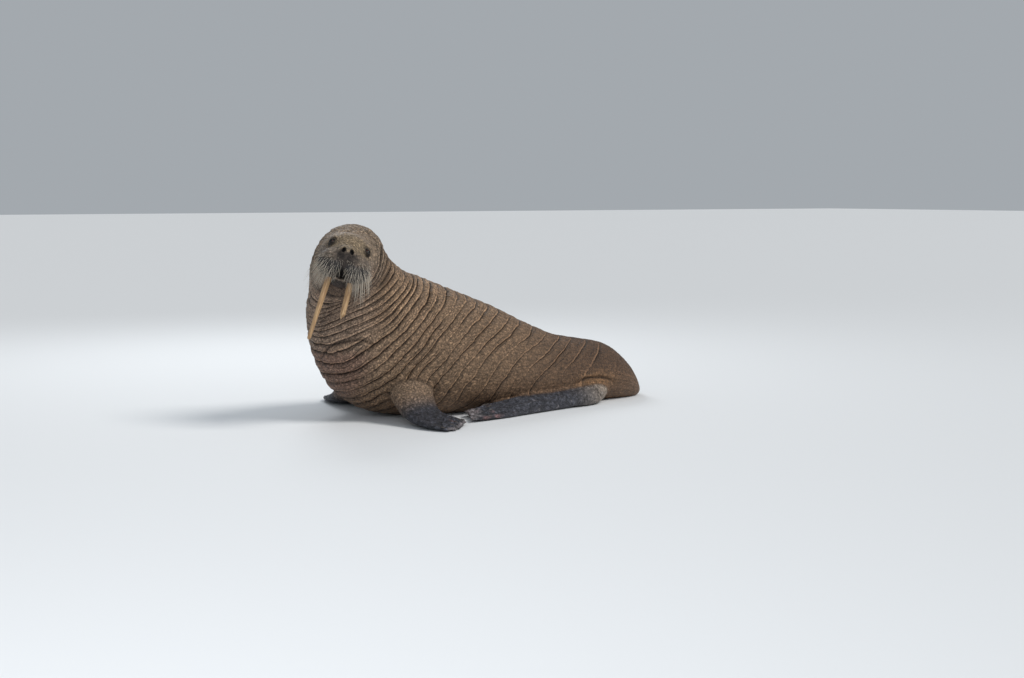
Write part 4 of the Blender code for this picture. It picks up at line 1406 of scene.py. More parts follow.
@dataclass(frozen=True)
class HideFinish:
    """Thick wrinkled skin: its colours are painted on the mesh, and creases and fine grain are added here.

    Painted shade darkens the creases and the grooves between the knobs, and painted light brightens the
    crease banks and the tops of the neck rolls. The ranges of what lies beside a crease are in metres.
    """

    name: str = "walrus_hide"
    # colour of the painted shade in the creases
    crease: Colour = (0.018, 0.010, 0.006)
    # colour of the painted highlight on the lit bank beside each crease
    lip: Colour = (0.36, 0.215, 0.120)
    darkest: float = 0.14
    jag: Grain = Grain(48, 3, 0.6)
    worn: Grain = Grain(9, 2, 0.5)
    worn_width: float = 0.008
    fork: Grain = Grain(5.5, 2, 0.5, (0.46, 0.56))
    sway: Grain = Grain(2.6, 2, 0.5)
    # how far the painted highlight on the banks takes on that colour
    bank_share: float = 0.30
    fine: Grain = Grain(300, 3, 0.62, (0.34, 0.66))
    speckle: Grain = Grain(58, 4, 0.78, (0.38, 0.62))
    mottle: Grain = Grain(34, 4, 0.75, (0.40, 0.60))
    specks: Grain = Grain(85, 3, 0.75, (0.42, 0.58))
    blotch: Grain = Grain(24, 4, 0.62, (0.3, 0.7))
    striae: Grain = Grain(52, 3, 0.7, (0.36, 0.64))
    wrinkles: Grain = Grain(75, 4, 0.6)
    level: float = 0.12
    line_rise: float = -0.60
    fork_rise: float = -0.35
    bump_height: float = 0.0075
    bump_strength: float = 1.0
    roughness: float = 0.60
    shine: float = 0.38

    def build(self) -> bpy.types.Material:
        """Makes the material."""
        finish = Finish(self.name)
        bare = finish.attribute("bare")
        neckward = finish.attribute("neckward")
        lie = finish.attribute("lie", "Vector")
        marked = finish.attribute("marked")
        turned, beside, line, second = self.creases(finish, marked)
        # painted highlight on the lit bank just ahead of each crease
        bank_highlight = finish.ramp(beside, 0.0040, 0.0060) * finish.ramp(beside, 0.0175, 0.0110) * marked
        # painted shade on the skin just behind each crease
        shade = finish.ramp(beside, -0.024, -0.003) * finish.ramp(beside, 0.002, -0.002) * marked
        fine = finish.grain(self.fine)
        speckle = finish.grain(self.speckle)
        mottle = finish.grain(self.mottle)
        striae = finish.grain(self.striae, lie)
        beads = finish.ramp(finish.cells(50, lie), 0.0, 0.30)
        knobs = between((0.42, 1.0), neckward)
        rough = 0.12 * fine + 0.40 * speckle + 0.24 * striae
        rough = rough + 0.12 * finish.grain(self.blotch) + self.level
        light = between((self.darkest, 2.20), rough)
        # darker in the grooves between the knobs: painted shade
        light = light * (1.12 - 0.62 * knobs * (1 - beads))
        # brighter on the crease banks and darker behind the creases: painted highlight and painted shade
        light = light * (1 + 1.35 * bank_highlight) * (1 - 0.40 * shade)
        # painted light on the tops of the neck rolls and painted shade in the valleys between them
        crest = abs(turned) * 2
        light = light * (1 + neckward * marked * (0.42 * crest - 0.20))
        light = light * (1 + bare * between((-0.55, 0.55), mottle))
        light = light * between((0.62, 1.38), finish.grain(self.specks))
        grey = finish.node("ShaderNodeCombineColor", {}, {"Red": light, "Green": light, "Blue": light})
        colour = finish.mix(1.0, finish.attribute("paint", "Color"), grey, "MULTIPLY")
        # painted highlight colour on the crease banks
        colour = finish.mix(bank_highlight * self.bank_share, colour, self.lip)
        # lines of painted shade in the creases and in the finer ones that fork from them
        colour = finish.mix(line * 0.92, colour, self.crease)
        colour = finish.mix(second * 0.80, colour, self.crease)
        height = (0.30 * striae + 0.50 * beads) * knobs
        height = height + 0.30 * finish.noise(self.wrinkles) + 0.25 * speckle
        height = height + self.line_rise * line + self.fork_rise * second + 0.8 * bare * mottle
        normal = finish.bump(height, self.bump_height, self.bump_strength)
        finish.set(Base_Color=colour, Normal=finish.bump(fine, 0.0013, 0.7, normal))
        finish.set(Roughness=self.roughness - 0.14 * bare + 0.12 * (fine - 0.5))
        finish.set(Specular_IOR_Level=self.shine)
        return finish.material

    def creases(self, finish: Finish, marked: Value) -> tuple[Value, Value, Value, Value]:
        """Works out the lines of painted shade in the creases.

        Args:
            finish: The material under construction.
            marked: How marked the creases are.

        Returns:
            How far each place lies from the nearest crease, as a share of the way to the next one and in
            metres, and how strong the painted shade is by a crease and by a finer one that forks from it.
        """
        phase = finish.attribute("phase")
        spacing = finish.attribute("spacing")
        turned = self.beside(phase + (finish.noise(self.jag) - 0.5) * 0.16)
        beside = turned * spacing
        worn = finish.noise(self.worn) * self.worn_width - self.worn_width / 2
        line = finish.ramp(abs(beside) + worn, 0.0056, 0.0008) * marked
        branch = self.beside(phase * 2 + finish.noise(self.sway) * 2.4) * spacing * 0.5
        second = finish.ramp(abs(branch), 0.0042, 0.0006) * finish.grain(self.fork) * marked
        return turned, beside, line, second

    @staticmethod
    def beside(phase: Value) -> Value:
        """How far a place lies from the nearest crease, from -0.5 to 0.5 of the way between two."""
        return (phase + 0.5).fraction() - 0.5


@dataclass(frozen=True)
class CoatFinish:
    """Short stiff hair in the colours of the skin that it grows on."""

    name: str = "short_hair"
    roughness: float = 0.55

    def build(self) -> bpy.types.Material:
        """Makes the material."""
        finish = Finish(self.name)
        finish.set(Base_Color=finish.attribute("paint", "Color"), Roughness=self.roughness)
        return finish.material


@dataclass(frozen=True)
class IvoryFinish:
    """Old ivory, stained near the gum and along fine lengthwise cracks."""

    name: str = "ivory"
    pale: Colour = (0.56, 0.37, 0.19)
    stained: Colour = (0.28, 0.15, 0.070)
    crack: Colour = (0.16, 0.095, 0.05)
    streak: Grain = Grain(1.0, 4, 0.6, (0.35, 0.70))
    bump_height: float = 0.0012
    bump_strength: float = 0.7
    roughness: Span = (0.36, 0.58)

    def build(self) -> bpy.types.Material:
        """Makes the material."""
        finish = Finish(self.name)
        along = finish.attribute("lie", "Vector")
        streak = finish.grain(self.streak, along)
        crack = finish.ramp(finish.cells(0.6, along), 0.0, 0.035)
        colour = finish.mix(streak, self.pale, self.stained)
        colour = finish.mix(finish.attribute("worn"), colour, self.stained)
        colour = finish.mix((1 - crack) * 0.6, colour, self.crack)
        height = 0.6 * streak + 0.4 * crack
        normal = finish.bump(height, self.bump_height, self.bump_strength)
        finish.set(Base_Color=colour, Normal=normal, Roughness=between(self.roughness, streak))
        return finish.material


@dataclass(frozen=True)
class EyeFinish:
    """A wet eyeball: dark brown iris, black pupil and a reddish white that barely shows."""

    name: str = "eyeball"
    iris: Colour = (0.012, 0.006, 0.004)
    pupil: Colour = (0.002, 0.002, 0.002)
    white: Colour = (0.045, 0.014, 0.010)
    roughness: float = 0.10
    shine: float = 0.35

    def build(self) -> bpy.types.Material:
        """Makes the material."""
        finish = Finish(self.name)
        spread = finish.attribute("spread")
        colour = finish.mix(finish.ramp(spread, 0.24, 0.30), self.pupil, self.iris)
        colour = finish.mix(finish.ramp(spread, 0.60, 0.68), colour, self.white)
        finish.set(Base_Color=colour, Roughness=self.roughness, Specular_IOR_Level=self.shine)
        return finish.material


@dataclass(frozen=True)
class HornFinish:
    """Stiff quills and nails: one colour with fine streaks."""

    name: str
    pale: Colour
    dark: Colour
    roughness: float
    streak: Grain = Grain(90, 2, 0.5)

    def build(self) -> bpy.types.Material:
        """Makes the material."""
        finish = Finish(self.name)
        colour = finish.mix(finish.noise(self.streak), self.pale, self.dark)
        finish.set(Base_Color=colour, Roughness=self.roughness)
        return finish.material


WHISKER_FINISH = HornFinish("whisker_quill", (0.62, 0.56, 0.47), (0.34, 0.29, 0.23), 0.42)
CLAW_FINISH = HornFinish("claw_horn", (0.12, 0.10, 0.085), (0.05, 0.042, 0.038), 0.38)


def srgb(red: int, green: int, blue: int) -> Array:
    """A colour given in screen numbers from 0 to 255, as light."""
    share = np.array([red, green, blue]) / SCREEN_LEVELS
    bright = ((share + SCREEN_OFFSET) / (1 + SCREEN_OFFSET)) ** SCREEN_POWER
    return np.where(share <= SCREEN_TOE, share / SCREEN_TOE_SLOPE, bright)


@dataclass(frozen=True)
class Wash:
    """A colour laid over the others where all its ranges of a place hold."""

    screen: tuple[int, int, int]
    ranges: dict[str, Span]
    share: float = 1.0

    def lay(self, colour: Array, places: dict[str, Array]) -> Array:
        """Lays the colour over others, by the places that its ranges are read from."""
        cover: Any = self.share
        for name, span in self.ranges.items():
            cover = cover * ease(*span, places[name])
        return blend(colour, srgb(*self.screen), cover)


def blend(first: Array, second: Array, share: Any) -> Array:
    """Goes from the first colour to the second."""
    return first + (second - first) * np.asarray(share)[..., None]


@dataclass
class Markings:
    """The hide's colours before light and grain, with painted shade in folds, hollows and under the chin,
    and where each of them lies.
    """

    rump: Array = field(default_factory=lambda: srgb(74, 54, 38))
    crown: Array = field(default_factory=lambda: srgb(124, 107, 89))
    # colour of the painted shade in the deep single folds
    fold: Array = field(default_factory=lambda: srgb(38, 27, 22))
    # colour of the painted shade in the head's hollows
    hollow: Array = field(default_factory=lambda: srgb(16, 12, 11))
    heel: Array = field(default_factory=lambda: srgb(134, 124, 113))
    toe: Array = field(default_factory=lambda: srgb(128, 122, 124))
    on_body: dict[str, Wash] = field(
        default_factory=lambda: {
            "back": Wash((112, 90, 69), {"at": (3.8, 7.6)}),
            "neck": Wash((134, 110, 87), {"at": (6.5, 10.5)}),
            "crown": Wash((124, 107, 89), {"at": (12.0, 13.2)}),
            "chest": Wash((140, 118, 100), {"top": (0.10, -0.7), "at": (8.5, 11.0)}),
            "belly": Wash((108, 84, 64), {"up": (0.30, 0.05), "at": (10.0, 8.0)}, 0.6),
            "breast": Wash((120, 92, 78), {"up": (0.50, 0.40), "forward": (2.05, 2.20)}, 0.8),
            "thigh": Wash((146, 108, 66), {"thigh": (1.5, 0.3)}, 0.26),
        }
    )
    on_face: dict[str, Wash] = field(
        default_factory=lambda: {
            "brow": Wash((124, 108, 86), {"nose": (0.24, 0.12), "up": (-0.01, 0.03)}),
            "cheek": Wash((104, 92, 80), {"up": (0.045, -0.02)}),
            "muzzle": Wash(
                (55, 47, 42),
                {"left": (0.105, 0.035), "up": (0.030, -0.010), "forward": (0.10, 0.18)},
            ),
            "pad": Wash((52, 50, 50), {"pad": (0.010, 0.0), "up": (-0.04, -0.075)}),
            # painted shade under the chin
            "chin": Wash((55, 47, 42), {"up": (-0.118, -0.135), "left": (0.085, 0.06)}),
            "lip": Wash((150, 134, 118), {"lip": (1.2, 0.5)}, 0.9),
        }
    )
    on_limb: dict[str, Wash] = field(
        default_factory=lambda: {
            "flipper": Wash((56, 57, 64), {"reach": (0.24, 0.52)}),
            "web": Wash((112, 82, 80), {"web": (0.15, 0.55), "reach": (0.78, 0.90)}, 0.6),
            "toe": Wash((128, 122, 124), {"reach": (0.955, 0.99)}, 0.85),
        }
    )
    thigh_middle: Place = (0.36, 0.0, 0.150)
    thigh_size: Span = (0.18, 0.070)
    nose: Place = (0.25, 0.0, 0.0)
    lip_size: Place = (0.035, 0.040, 0.010)
    fold_shade_share: float = 0.9
    limb_left: float = 0.45
    limb_room: float = 0.5
    darkest: float = 0.004

    def body(self, points: Array, at: Array, angle: Array) -> Array:
        """The trunk's colours.

        Args:
            points: Points of the skin, as forward, left and up.
            at: Where along the trunk each is.
            angle: Where round the trunk each is.

        Returns:
            A colour for each point.
        """
        forward, _, up = points.T
        thigh = (points - np.array(self.thigh_middle))[:, [0, 2]] / np.array(self.thigh_size)
        places = {"at": at, "top": np.cos(angle), "forward": forward, "up": up, "thigh": norm(thigh)}
        colour = np.broadcast_to(self.rump, points.shape)
        for wash in self.on_body.values():
            colour = wash.lay(colour, places)
        return blotched(colour, points, Noise.HIDE, 6.0, 0.16)

    def face(self, points: Array, head: Head, hollow: Array) -> Array:
        """The head's colours, with painted shade in its hollows and under the chin.

        Args:
            points: Points of the skin, as forward, left and up.
            head: The head.
            hollow: How strong the painted shade of the head's hollows is at each point.

        Returns:
            A colour for each point.
        """
        spot = head.inward(points)
        forward, left, up = spot.T
        places = {"forward": forward, "left": np.abs(left), "up": up, "pad": head.pad_distance(spot)}
        places["nose"] = norm(spot - np.array(self.nose))
        places["lip"] = norm((spot - np.array(head.lip)) / np.array(self.lip_size))
        colour = np.broadcast_to(self.crown, points.shape)
        for wash in self.on_face.values():
            colour = wash.lay(colour, places)
        # painted shade in the head's hollows
        colour = blend(colour, self.hollow, hollow)
        light = 1 + 0.26 * rough_noise(points * 14.0, Noise.FACE)
        light = light + 0.26 * rough_noise(points * 42.0, Noise.FACE_FINE, 2)
        return colour * light[:, None]

    def limb(self, points: Array, colour: Array, reach: Array, paleness: float) -> Array:
        """A flipper's colours.

        Args:
            points: Points of the skin, as forward, left and up.
            colour: The colours there without the flipper.
            reach: How far along the flipper each point is.
            paleness: How pale its root is.

        Returns:
            A colour for each point.
        """
        places = {"reach": reach, "web": rough_noise(points * 16.0, Noise.WEB, 2)}
        colour = blend(colour, self.heel, np.full(len(points), paleness))
        for wash in self.on_limb.values():
            colour = wash.lay(colour, places)
        scar = ease(0.25, 0.60, rough_noise(points * 40.0, Noise.SCAR, 2))
        scar = scar * ease(0.9, 0.5, reach) * 0.50 * paleness
        return blotched(blend(colour, self.toe, scar), points, Noise.LIMB, 30.0, 0.30)


def blotched(colour: Array, points: Array, noise: Noise, scale: float, strength: float) -> Array:
    """The colours made lighter and darker by a noise."""
    return colour * (1 + strength * rough_noise(points * scale, noise))[:, None]


@dataclass
class Skin:
    """One skin over the whole animal, which replaces the solids of flesh."""

    trunk: Trunk
    head: Head
    limbs: tuple[Limb, ...]
    tail: Tail
    marks: Markings = field(default_factory=Markings)
    voxel: float = 0.0056
    top: float = 1.2495
    evening: tuple[float, int] = (0.5, 4)
    roots: tuple[tuple[Place, float], ...] = (
        ((1.84, 0.40, 0.20), 0.17),
        ((0.31, 0.27, 0.10), 0.16),
        ((-0.13, 0.0, 0.10), 0.05),
    )
    root_relax: tuple[float, int] = (0.7, 45)
    fine_gap: float = 0.012
    join_spread: tuple[float, int] = (0.8, 12)
    join_rounds: int = 110
    bridge_passes: int = 4
    bridge_probe: int = 50
    bridge_rounds: int = 160
    bridge_last: tuple[float, int] = (0.6, 14)
    head_relax: tuple[float, float, int] = (0.3, 0.5, 6)
    knobs: Span = (0.0014, 0.0036)
    knobs_scale: float = 44.0
    sag_height: float = 0.003
    sag_scale: float = 7.0
    soft_relax: tuple[float, int] = (0.8, 60)
    girth: float = 0.36
    roll_length: float = 0.07
    station_step: float = 0.01
    at: Array = field(init=False)
    angle: Array = field(init=False)
    on_head: Array = field(init=False)
    # painted shade of the head's hollows, from 0 to 1
    hollow: Array = field(init=False)
    bare: Array = field(init=False)
    colour: Array = field(init=False)
    nodes: tuple[str, ...] = (
        "hindquarters", "loins", "back", "shoulders", "neck", "head", "lower_jaw",
        "whisker_pad_left", "whisker_pad_right",
        "fore_flipper_left", "fore_flipper_right",
        "hind_flipper_left", "hind_flipper_right", "tail",
    )

    def build(self) -> Object:
        """Makes the skin, sculpts and paints it.

        Returns:
            The skin's object, in place of the flesh nodes.
        """
        LOG.info("skin: fusing the forms")
        forms = [self.trunk.form(), self.head.form(), self.tail.form()]
        forms += [limb.form(side) for limb in self.limbs for side in Side]
        parts = [new_object(f"form_{number}", form) for number, form in enumerate(forms)]
        skin = self.fuse(parts)
        self.refine(skin)
        self.sculpt(skin)
        skin.data.materials.append(HideFinish().build())
        skin.data.shade_smooth()
        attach(skin, "root")
        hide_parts(*self.nodes)
        return skin

    def fuse(self, parts: list[Object]) -> Object:
        """Joins overlapping closed shapes into one even mesh."""
        work = bmesh.new()
        for part in parts:
            work.from_mesh(part.data)
            bpy.data.objects.remove(part)
        mesh = bpy.data.meshes.new("skin")
        work.to_mesh(mesh)
        work.free()
        skin = link_object("skin", mesh)
        remesh = skin.modifiers.new("fuse", "REMESH")
        remesh.mode = "VOXEL"
        remesh.voxel_size = self.voxel
        graph = bpy.context.evaluated_depsgraph_get()
        fused = bpy.data.meshes.new_from_object(skin.evaluated_get(graph))
        skin.modifiers.clear()
        skin.data = fused
        fused.name = "skin"
        return skin

    def refine(self, skin: Object) -> None:
        """Evens out the mesh and splits its faces on the head, where the detail is finest."""
        mesh = skin.data
        share, rounds = self.evening
        points = relax(read_points(mesh), read_edges(mesh), np.full(len(mesh.vertices), share), rounds)
        points = self.fill_joins(mesh, points)
        points = self.bridge_head(mesh, points)
        body = unplaced(points)
        on_root = np.zeros(len(points))
        for side, (middle, size) in product(Side, self.roots):
            apart = norm(body - np.array(middle) * side.flip)
            on_root = np.maximum(on_root, ease(size, size * 0.4, apart))
        share, rounds = self.root_relax
        points = relax(points, read_edges(mesh), on_root * share, rounds)
        points[:, 2] = np.maximum(points[:, 2], FLOOR)
        write_points(mesh, points)
        in_head = self.head.inward(unplaced(points))
        work = bmesh.new()
        work.from_mesh(mesh)
        self.split(work, (self.head.distance(in_head) < self.fine_gap) & (in_head[:, 0] > -0.02))
        work.verts.index_update()
        in_head = self.head.inward(unplaced(np.array([vertex.co for vertex in work.verts])))
        chosen = np.zeros(len(in_head), bool)
        for side in Side:
            chosen |= norm(in_head - self.head.eye_middle(side)) < 0.045
            from_nostril = in_head - np.array(self.head.nostril) * side.flip
            chosen |= norm(from_nostril) < 0.030
        self.split(work, chosen)
        work.to_mesh(mesh)
        work.free()

    @staticmethod
    def split(work: bmesh.types.BMesh, chosen: Array) -> None:
        """Splits in four each face whose corners are all chosen."""
        work.verts.ensure_lookup_table()
        faces = [face for face in work.faces if all(chosen[vertex.index] for vertex in face.verts)]
        edges = list(dict.fromkeys(edge for face in faces for edge in face.edges))
        bmesh.ops.subdivide_edges(work, edges=edges, cuts=1, use_grid_fill=True)
        bmesh.ops.triangulate(work, faces=[face for face in work.faces if len(face.verts) > 4])

    def fill_joins(self, mesh: Mesh, points: Array) -> Array:
        """Rounds out the valleys where forms meet, away from the face."""
        write_points(mesh, points)
        edges = read_edges(mesh)
        everywhere = np.ones(len(points))
        pull = relax(points, edges, everywhere, 1) - points
        hollow = np.sum(pull * read_normals(mesh), axis=1) / self.voxel
        weight = ease(0.035, 0.11, hollow)[:, None]
        share, rounds = self.join_spread
        weight = 3.0 * relax(weight, edges, share * everywhere, rounds)[:, 0]
        in_head = self.head.inward(unplaced(points))
        on_face = ease(0.075, 0.115, in_head[:, 0])
        on_face *= ease(0.05, 0.03, self.head.distance(in_head))
        return relax(points, edges, np.clip(weight, 0, 0.85) * (1 - on_face), self.join_rounds)

    def bridge_head(self, mesh: Mesh, points: Array) -> Array:
        """Spans the valley between the head and its hood, and stores how far in it each point is."""
        body = unplaced(points)
        in_head = self.head.inward(body)
        gap = self.head.distance(in_head)
        near = np.where(gap < 0.14)[0]
        off = self.trunk.lookup(body[near])[2]
        join = np.zeros(len(points))
        join[near] = ease(0.110, 0.055, np.maximum(gap[near], off))
        join *= ease(-0.13, -0.06, in_head[:, 2])
        for side in Side:
            from_eye = norm(in_head - self.head.eye_middle(side))
            join *= ease(0.030, 0.060, from_eye)
        edges = read_edges(mesh)
        pull = 0.9 * join
        for _ in range(self.bridge_passes):
            write_points(mesh, points)
            moved = relax(points, edges, pull, self.bridge_probe) - points
            sunken = np.sum(moved * read_normals(mesh), axis=1) > 0
            points = relax(points, edges, pull * sunken, self.bridge_rounds)
        share, rounds = self.bridge_last
        points = relax(points, edges, share * join, rounds)
        store_value(mesh, "join", join)
        return points

    def sculpt(self, skin: Object) -> None:
        """Presses in the folds, eyes and nostrils, and paints the colours, with painted shade in the folds
        and the head's hollows.
        """
        mesh = skin.data
        edges = read_edges(mesh)
        points = unplaced(read_points(mesh))
        in_head = self.head.inward(points)
        gap = self.head.distance(in_head)
        at, angle, off = self.trunk.lookup(points)
        on_head = ease(0.012, 0.003, gap) * ease(-0.06, -0.02, in_head[:, 0])
        join = read_rows(mesh.attributes["join"].data, "value", 1)[:, 0]
        settled = self.head.outward(self.head.settle(in_head))
        points = points + (settled - points) * (on_head * (1 - join))[:, None]
        on_face, on_join, rounds = self.head_relax
        points = relax(points, edges, on_face * on_head + on_join * join, rounds)
        write_points(mesh, placed(points))
        normals = self.facing(mesh)
        on_trunk = ease(between((0.030, 0.065), join), between((0.010, 0.030), join), off)
        on_trunk *= 1 - ease(0.012, 0.0, gap)
        height, phase, marked = self.trunk.relief(at, angle, points)
        lifted = ease(0.0, 0.06, points[:, 2])
        lifted *= ease(self.top, self.top - 0.05, points[:, 2])
        raised = height * on_trunk
        # folded gathers the painted shade of the folds
        folded = np.zeros(len(points))
        for fold in FOLDS:
            pressed, shade = fold.press(points)
            raised = raised + pressed
            folded = np.maximum(folded, shade)
        points = points + normals * (raised * lifted)[:, None]
        # hollow is the painted shade of the head's hollows
        move, hollow = self.head.sculpt(self.head.inward(points))
        hollow *= on_head
        points = points + (move @ self.head.axes) * on_head[:, None]
        knobs = between(self.knobs, ease(5.0, 9.0, at) * (1 - on_head))
        small = rough_noise(points * self.knobs_scale, Noise.KNOBS, 2) * knobs
        small = small + rough_noise(points * self.sag_scale, Noise.SAG, 2) * self.sag_height
        points = points + normals * (small * lifted)[:, None]
        points[:, 2] = np.clip(points[:, 2], FLOOR, self.top)
        write_points(mesh, placed(points))
        share, rounds = self.soft_relax
        soft_head = relax(on_head[:, None], edges, np.full(len(points), share), rounds)[:, 0]
        store_value(mesh, "marked", marked * on_trunk * (1 - on_head))
        neckward = ease(4.5, 9.0, at) * (1 - 0.45 * soft_head)
        store_value(mesh, "neckward", neckward)
        self.at = at
        self.angle = angle
        self.on_head = on_head
        self.hollow = hollow
        self.store_creases(mesh, points, phase, on_trunk * (1 - join))
        self.paint(mesh, points, folded, on_trunk, soft_head)

    def store_creases(self, mesh: Mesh, points: Array, phase: Array, wound: Array) -> None:
        """Stores where the skin lies among the creases, for the lines of painted shade, the painted
        highlights and the grain that follow them.

        Args:
            mesh: The skin.
            points: Its points, as forward, left and up.
            phase: The count of creases up to each.
            wound: How far the grain of each is wound round the trunk.
        """
        ahead = self.trunk.base(self.at + self.station_step, self.angle)
        behind = self.trunk.base(self.at - self.station_step, self.angle)
        along = norm(ahead - behind) / (2 * self.station_step)
        creases = self.trunk.creases
        low = np.clip(phase.astype(int), 0, len(creases) - 2)
        store_value(mesh, "phase", phase)
        store_value(mesh, "spacing", along * (creases[low + 1] - creases[low]))
        ring = [phase * self.roll_length, np.cos(self.angle) * self.girth, np.sin(self.angle) * self.girth]
        round_trunk = np.stack(ring, axis=-1)
        wound = wound * (1 - ease(12.6, 13.2, self.at))
        store_vector(mesh, "lie", round_trunk + (points - round_trunk) * (1 - wound)[:, None])

    @staticmethod
    def facing(mesh: Mesh) -> Array:
        """The directions in which the vertices face, as forward, left and up."""
        normals = read_normals(mesh)
        return np.stack([-normals[:, 1], normals[:, 0], normals[:, 2]], axis=-1)

    def paint(
        self,
        mesh: Mesh,
        points: Array,
        folded: Array,
        on_trunk: Array,
        on_head: Array,
    ) -> None:
        """Works out the hide's colours, with painted shade in the folds and hollows, and stores them on the
        mesh.

        Args:
            mesh: The skin.
            points: Its points, as forward, left and up.
            folded: How strong the painted shade of a single fold is at each.
            on_trunk: How far each belongs to the trunk.
            on_head: How far each belongs to the head.
        """
        marks = self.marks
        colour = marks.body(points, self.at, self.angle)
        face = marks.face(points, self.head, self.hollow)
        colour = blend(colour, face, on_head)
        self.bare = np.zeros(len(points))
        for limb, side in product(self.limbs, Side):
            near = np.abs(points[:, 1] * side.value - marks.limb_left) < marks.limb_room
            reach = np.zeros(len(points))
            apart = np.ones(len(points))
            reach[near], apart[near] = limb.reach(points[near], side)
            here = ease(0.030, 0.012, apart) * (1 - on_trunk) * (1 - on_head)
            colour = blend(colour, marks.limb(points, colour, reach, limb.paleness), here)
            self.bare = np.maximum(self.bare, here * ease(0.24, 0.52, reach))
        # painted shade in the deep single folds
        colour = blend(colour, marks.fold, np.clip(folded, 0, 1) * marks.fold_shade_share)
        self.colour = np.clip(colour, marks.darkest, 1)
        store_colour(mesh, "paint", self.colour)
        store_value(mesh, "bare", self.bare)


def store_rows(mesh: Mesh, name: str, kind: str, key: str, rows: Array) -> None:
    """Stores numbers for each vertex as an attribute of a kind."""
    layer = mesh.attributes.new(name, kind, "POINT")
    layer.data.foreach_set(key, np.asarray(rows, np.float32).ravel())


def store_colour(mesh: Mesh, name: str, colour: Array) -> None:
    """Stores a colour for each vertex."""
    full = np.concatenate([colour, np.ones((len(colour), 1))], axis=1)
    store_rows(mesh, name, "FLOAT_COLOR", "color", full)


def store_value(mesh: Mesh, name: str, value: Array) -> None:
    """Stores a number for each vertex."""
    store_rows(mesh, name, "FLOAT", "value", value)


def store_vector(mesh: Mesh, name: str, vector: Array) -> None:
    """Stores three numbers for each vertex."""
    store_rows(mesh, name, "FLOAT_VECTOR", "vector", vector)


@dataclass
class Eyes:
    """Both eyeballs, with a slight bulge over the iris."""

    head: Head
    rings: int = 40
    sides: int = 56
    bulge: float = 0.05

    def build(self) -> list[Object]:
        """Makes the eyeballs in place of their solids."""
        finish = EyeFinish().build()
        ball = ball_form(self.rings, self.sides)
        forward = ball.points[:, 0]
        spread = np.sqrt(np.clip(1 - forward**2, 0, 1)) + (forward < 0)
        bulge = 1 + self.bulge * ease(0.75, 1.0, forward[:, None])
        made = []
        for side in Side:
            turned = ball.points @ np.stack(self.head.eye_axes(side))
            points = self.head.eye_middle(side) + turned * self.head.eye_radius * bulge
            eye = new_object(f"eyeball_{side.word}", Form(placed(self.head.outward(points)), ball.faces))
            store_value(eye.data, "spread", spread)
            eye.data.materials.append(finish)
            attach(eye, "root")
            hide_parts(f"eye_{side.word}")
            made.append(eye)
        return made


@dataclass
class Tusks:
    """The whole right tusk and the broken left one."""

    head: Head
    pair: tuple[Tusk, ...] = (
        Tusk(Side.RIGHT, 0.475, 0.0140),
        Tusk(Side.LEFT, 0.290, 0.0195, broken=True),
    )
    stain_scale: float = 40.0

    def build(self) -> list[Object]:
        """Makes the tusks in place of their solids."""
        finish = IvoryFinish().build()
        made = []
        for tusk in self.pair:
            obj = new_object(f"ivory_{tusk.side.word}", tusk.form(self.head))
            points = self.head.inward(unplaced(read_points(obj.data)))
            down = tusk.root[2] - points[:, 2]
            left = points[:, 1] - tusk.side.value * tusk.root[1]
            around = np.arctan2(left, points[:, 0] - tusk.root[0] - 0.02)
            ring = np.stack([np.cos(around), np.sin(around)], axis=-1) * 5.0
            store_vector(obj.data, "lie", np.column_stack([ring, down * 9.0]))
            stain = 0.25 * rough_noise(points * self.stain_scale, Noise.GUM)
            worn = 0.75 * ease(0.115, 0.05, down) + stain
            store_value(obj.data, "worn", np.clip(worn, 0, 1))
            obj.data.materials.append(finish)
            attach(obj, "root")
            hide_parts(f"tusk_{tusk.side.word}")
            made.append(obj)
        return made


def build_claws(limbs: tuple[Limb, ...]) -> Object:
    """Makes the small nails of all four flippers as one piece.

    Args:
        limbs: The fore and hind flippers.

    Returns:
        The nails' object.
    """
    forms = [claw for limb in limbs for side in Side for claw in limb.claw_forms(side)]
    claws = new_object("claws", joined_form(forms))
    claws.data.materials.append(CLAW_FINISH.build())
    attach(claws, "root")
    return claws


